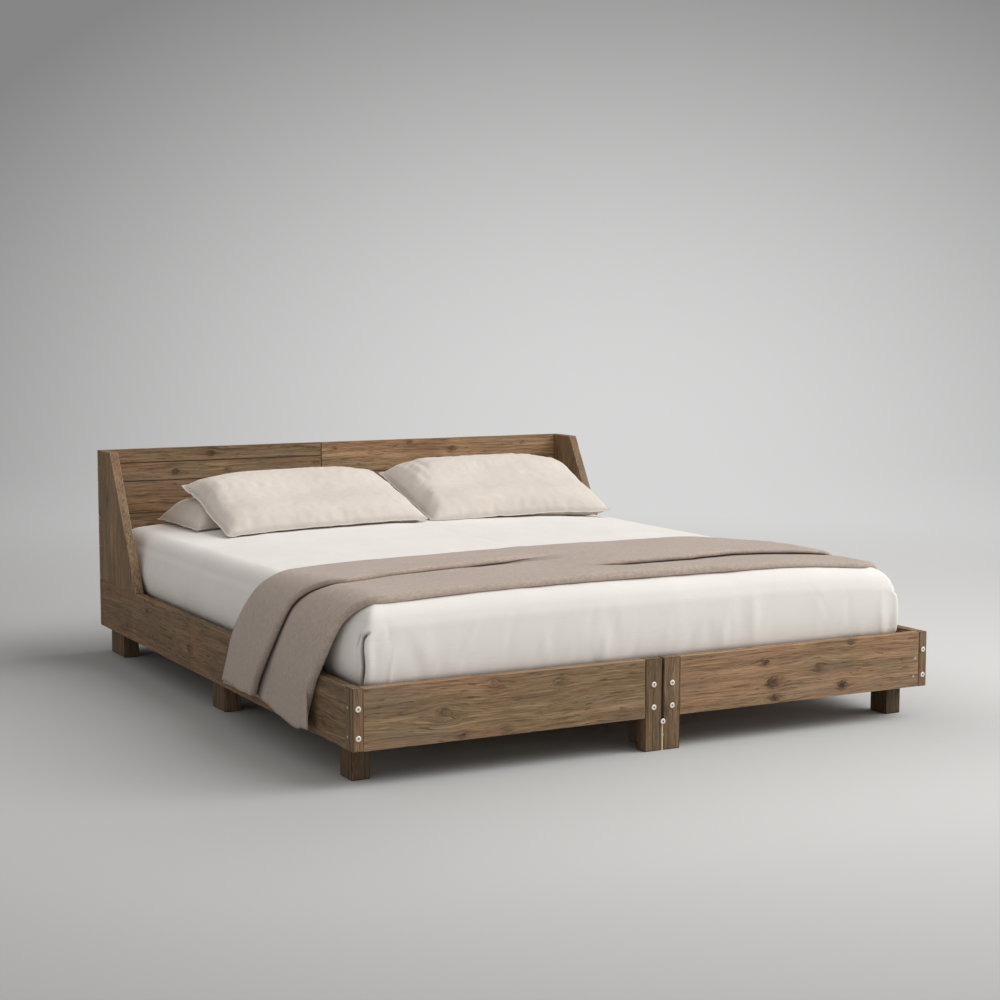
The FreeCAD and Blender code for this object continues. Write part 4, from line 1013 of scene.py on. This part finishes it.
def flanged(points, faces, shape):
    """Sews the pouch's two layers together round its edge, and adds a flat flange there."""
    wide, long = shape
    index = np.arange(len(points)).reshape(wide, long, 2)
    loop = ([(i, 0) for i in range(wide)] + [(wide - 1, j) for j in range(1, long)]
            + [(i, long - 1) for i in range(wide - 2, -1, -1)] + [(0, j) for j in range(long - 2, 0, -1)])
    low = np.array([index[i, j, 0] for i, j in loop])
    high = np.array([index[i, j, 1] for i, j in loop])
    middle = (points[low] + points[high]) / 2
    along = np.roll(middle, -1, axis=0) - np.roll(middle, 1, axis=0)
    out = np.stack([along[:, 1], -along[:, 0], np.zeros(len(along))], 1)
    out /= np.linalg.norm(out, axis=1)[:, None]
    up = np.array([0, 0, FLANGE_HALF])
    placed = points.copy()
    placed[low], placed[high] = middle - up, middle + up
    ring = middle + out * FLANGE
    count = len(points)
    outer_low = count + np.arange(len(loop))
    outer_high = outer_low + len(loop)
    border = np.zeros(count, bool)
    border[low] = border[high] = True
    upper = np.zeros(count, bool)
    upper[index[:, :, 1]] = True
    wall = border[faces].all(1) & upper[faces].any(1) & ~upper[faces].all(1)
    nexts = [np.roll(row, -1) for row in (low, high, outer_low, outer_high)]
    bands = [np.stack(band, 1) for band in ((high, outer_high, nexts[3], nexts[1]),
                                            (low, nexts[0], nexts[2], outer_low),
                                            (outer_low, nexts[2], nexts[3], outer_high))]
    sewn = np.concatenate([placed, ring - up, ring + up])
    return sewn, np.concatenate([faces[~wall], *bands]), border


def surface_tree(points, faces):
    return BVHTree.FromPolygons(points.tolist(), faces.tolist())


def heights(trees, points, default):
    """Height of the highest surface below each point's place."""
    found = np.full(len(points), default)
    for i, (x, y, _) in enumerate(points):
        for tree in trees:
            hit = tree.ray_cast(Vector((x, y, 2.0)), Vector((0, 0, -1)))[0]
            if hit is not None:
                found[i] = max(found[i], hit.z)
    return found


def rest_on(points, trees, gap):
    """Flattens a pillow's underside on what carries it, and lifts what lies above by a part of that."""
    floor = heights(trees, points, 0.0) + gap
    press = np.clip(floor - points[:, 2], 0, None)
    placed = points.copy()
    order = np.round(points[:, :2] / 0.03).astype(int)
    cells = {}
    for key, value in zip(map(tuple, order), press):
        cells[key] = max(cells.get(key, 0.0), value)
    below = np.array([np.mean([cells.get((a + i, b + j), 0.0) for i in (-1, 0, 1) for j in (-1, 0, 1)])
                      for a, b in map(tuple, order)])
    placed[:, 2] += 0.45 * below
    return np.stack([placed[:, 0], placed[:, 1], np.maximum(placed[:, 2], floor)], 1)


# Each pillow: node, middle across the bed, front seam, size, volume, the seam's height, lean, roll and turn
PILLOWS = [
    ("pillow_back_left", -0.352, plank_y - 0.396, (0.655, 0.378), 0.0185, 0.007, 0.0, 0.4, 1.2),
    ("pillow_back_right", 0.424, plank_y - 0.396, (0.655, 0.378), 0.0195, 0.023, 0.0, 0.0, -0.8),
    ("pillow_front_left", -0.303, plank_y - 0.596, (0.677, 0.458), 0.0203, 0.015, 15.5, 1.8, -0.5),
    ("pillow_front_right", 0.3945, plank_y - 0.596, (0.672, 0.458), 0.0228, 0.015, 16.5, 0.8, -1.2),
]


def make_pillows(material, sheet):
    """Two pillows against the headboard and two that lean on them."""
    trees = [surface_tree(*sheet)]
    for number, (node, middle, front, (width, depth), volume, rise, lean, roll, turn) in enumerate(PILLOWS):
        points, faces, shape = pouch(width, depth, 1.15 * volume / width / depth)
        flat = points.copy()
        points = inflated(points, faces, volume, PILLOW_FRAMES, 40 + number)
        points = filled_out(points, flat, width, depth)
        gather = bell(flat[:, 1], 0.035) * np.clip(points[:, 2] / 0.02, -1, 1)
        points[:, 2] += GATHER_DEPTH * gather * waves(points, (0.030, 0.25, 0.25), 60 + number)
        points, faces, border = flanged(points, faces, shape)
        tilt = np.array(Euler([math.radians(angle) for angle in (lean, -roll, turn)]).to_matrix())
        points = points @ tilt.T + np.array([middle, front, form_high[2] + rise])
        points = rest_on(points, trees, PILLOW_GAP)
        made = piece(node + "_cushion", points, faces, material, node)
        seam = np.zeros(len(points), bool)
        seam[:len(border)] = border
        # Painted shade: a darker line along the sewn seam.
        set_attribute(made, "fold", 0.30 * seam)
        crease = made.data.attributes.new("crease_edge", "FLOAT", "EDGE")
        crease.data.foreach_set("value", [0.7 * float(seam[a] and seam[b]) for a, b in made.data.edge_keys])
        smooth = made.modifiers.new("smooth", "SUBSURF")
        smooth.levels = smooth.render_levels = 1
        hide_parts(node)
        trees.append(surface_tree(points, faces))


# Stage, light and camera

FLOOR_COLOUR = (0.675, 0.675, 0.672, 1)
CLEAR_FROM, CLEAR_TO = 2.4, 5.0
WORLD_COLOUR = (1.0, 0.975, 0.945, 1)
WORLD_STRENGTH = 0.53
KEY_DIRECTION = Vector((0.66, -0.26, 0.70))
KEY_ENERGY = 1.86
KEY_ANGLE = math.radians(52)
SIDE_PLACE = Vector((3.2, -2.1, 2.3))
SIDE_TARGET = Vector((0.7, -0.6, 0.3))
SIDE_ENERGY = 32
SIDE_SIZE = 1.6


def make_floor():
    """One pale surface: the floor, curving up into a backdrop well behind the bed.
    Its colour is palest beside the bed, on its right, and painted darker towards its corners, to the front
    and up the backdrop, as a painted falloff of the light. It is painted darker in a band round the bed, as a
    painted shadow, and away from the bed it glows for camera and glossy rays."""
    shader = Shader("stage")
    x, y, z = shader.parts(shader.place)
    # Painted light falloff: the colour fades to the sides, to the front and up the backdrop.
    room = shader.math("ADD", shader.math("MULTIPLY", shader.math("MAXIMUM", y, 0.0), 2.5), 17.0)
    off = shader.math("ABSOLUTE", shader.math("SUBTRACT", x, 1.0))
    across = shader.math("DIVIDE", shader.math("POWER", off, 2.0), room)
    near = shader.math("POWER", shader.math("MAXIMUM", shader.math("SUBTRACT", -1.0, y), 0.0), 2.0)
    up = shader.math("POWER", shader.math("MAXIMUM", z, 0.0), 2.0)
    near = shader.math("MINIMUM", shader.math("MULTIPLY", near, 1 / 10.5), 0.32)
    fall = shader.math("ADD", near, shader.math("MULTIPLY", up, 1 / 21))
    fall = shader.math("MINIMUM", shader.math("ADD", across, fall), 1.05)
    level = shader.math("EXPONENT", shader.math("MULTIPLY", fall, -1.0))
    # Painted shadow: the colour is darker in a band round the bed, down to 0.83 at its edge.
    place = shader.node("ShaderNodeNewGeometry").outputs["Position"]
    outside = shader.vector("ABSOLUTE", shader.vector("ADD", place, (0.12, 0.05, 0)))
    outside = shader.vector("MULTIPLY", shader.vector("SUBTRACT", outside, (0.87, 1.05, 0)), (1, 1, 0))
    outside = shader.vector("LENGTH", shader.vector("MAXIMUM", outside, (0, 0, 0)))
    level = shader.math("MULTIPLY", level, shader.span(outside, 0.0, 0.85, 0.83, 1.0))
    colour = shader.mix(level, (0, 0, 0, 1), FLOOR_COLOUR)
    shader.set(Base_Color=colour, Roughness=0.9, Specular_IOR_Level=0.1)
    # Painted light: away from the bed, camera, glossy and transmission rays see the surface glow with its
    # colour in place of being lit.
    glow = shader.node("ShaderNodeEmission", colour)
    path = shader.node("ShaderNodeLightPath")
    seen = shader.math("MAXIMUM", path.outputs["Is Camera Ray"], path.outputs["Is Glossy Ray"])
    seen = shader.math("MAXIMUM", seen, path.outputs["Is Transmission Ray"])
    flat = shader.vector("MULTIPLY", shader.place, (1, 1, 0))
    far = shader.math("MULTIPLY", seen, shader.span(shader.vector("LENGTH", flat), CLEAR_FROM, CLEAR_TO))
    blend = shader.node("ShaderNodeMixShader", far, shader.surface.outputs[0], glow.outputs[0])
    shader.put(shader.tree.nodes["Material Output"].inputs["Surface"], blend.outputs[0])
    near_end, far_end, bend, top, half = -40.0, 7.2, 4.0, 9.0, 40.0
    curve = arc((far_end, bend), bend, -90, 0, 24)
    profile = [(near_end, 0.0), (far_end, 0.0)] + [tuple(p) for p in curve] + [(far_end + bend, top)]
    points = [(x, y, z) for y, z in profile for x in (-half, half)]
    faces = [(2 * i, 2 * i + 1, 2 * i + 3, 2 * i + 2) for i in range(len(profile) - 1)]
    made = smooth_mesh("floor", points, faces, shader.material)
    made.rotation_euler.z = CAMERA_YAW


def make_lights():
    """A large soft key light from the upper right, a weaker one beside it, and an even room round them."""
    world = bpy.data.worlds.new("studio")
    bpy.context.scene.world = world
    world.use_nodes = True
    background = world.node_tree.nodes["Background"]
    background.inputs["Color"].default_value = WORLD_COLOUR
    background.inputs["Strength"].default_value = WORLD_STRENGTH
    key = bpy.data.lights.new("key", "SUN")
    key.energy = KEY_ENERGY
    key.angle = KEY_ANGLE
    key.color = (1.0, 0.995, 0.985)
    made = linked("key", key)
    made.rotation_euler = KEY_DIRECTION.to_track_quat("Z", "Y").to_euler()
    side = bpy.data.lights.new("side", "AREA")
    side.energy = SIDE_ENERGY
    side.size = SIDE_SIZE
    made = linked("side", side)
    made.location = SIDE_PLACE
    made.rotation_euler = (SIDE_PLACE - SIDE_TARGET).to_track_quat("Z", "Y").to_euler()


CAMERA_YAW = math.radians(-27.93)
CAMERA_PITCH = math.radians(90 - 5.8)
CAMERA_LENS = 69.25
CAMERA_PLACE = (-2.658, -5.17075, 1.146)


def make_camera():
    data = bpy.data.cameras.new("camera")
    data.sensor_width = 36.0
    data.lens = CAMERA_LENS
    made = linked("camera", data)
    made.location = CAMERA_PLACE
    made.rotation_euler = (CAMERA_PITCH, 0, CAMERA_YAW)
    bpy.context.scene.camera = made


make_camera()
make_lights()
make_floor()
make_woodwork()
make_fasteners()
ticking = cloth("ticking", (0.80, 0.79, 0.76), 0.0012, 0.85, 0.1)
cotton = cloth("cotton", (0.895, 0.860, 0.825), 0.0008, 0.85, 0.15, mottle=0.03, bump=0.00012, fuzz=0.04)
linen = cloth("linen", (0.775, 0.703, 0.640), 0.0012, 0.9, 0.06, mottle=0.05, fuzz=0.14)
wool = cloth("wool", (0.610, 0.497, 0.425), 0.0016, 0.95, 0.25, mottle=0.05, bump=0.0005, fuzz=0.70,
             nap=(75, 190, 75))
make_mattresses(ticking)
bed_surface = make_sheet(cotton)
make_throw(wool)
make_pillows(linen, bed_surface)
bpy.context.scene.view_settings.view_transform = "Standard"
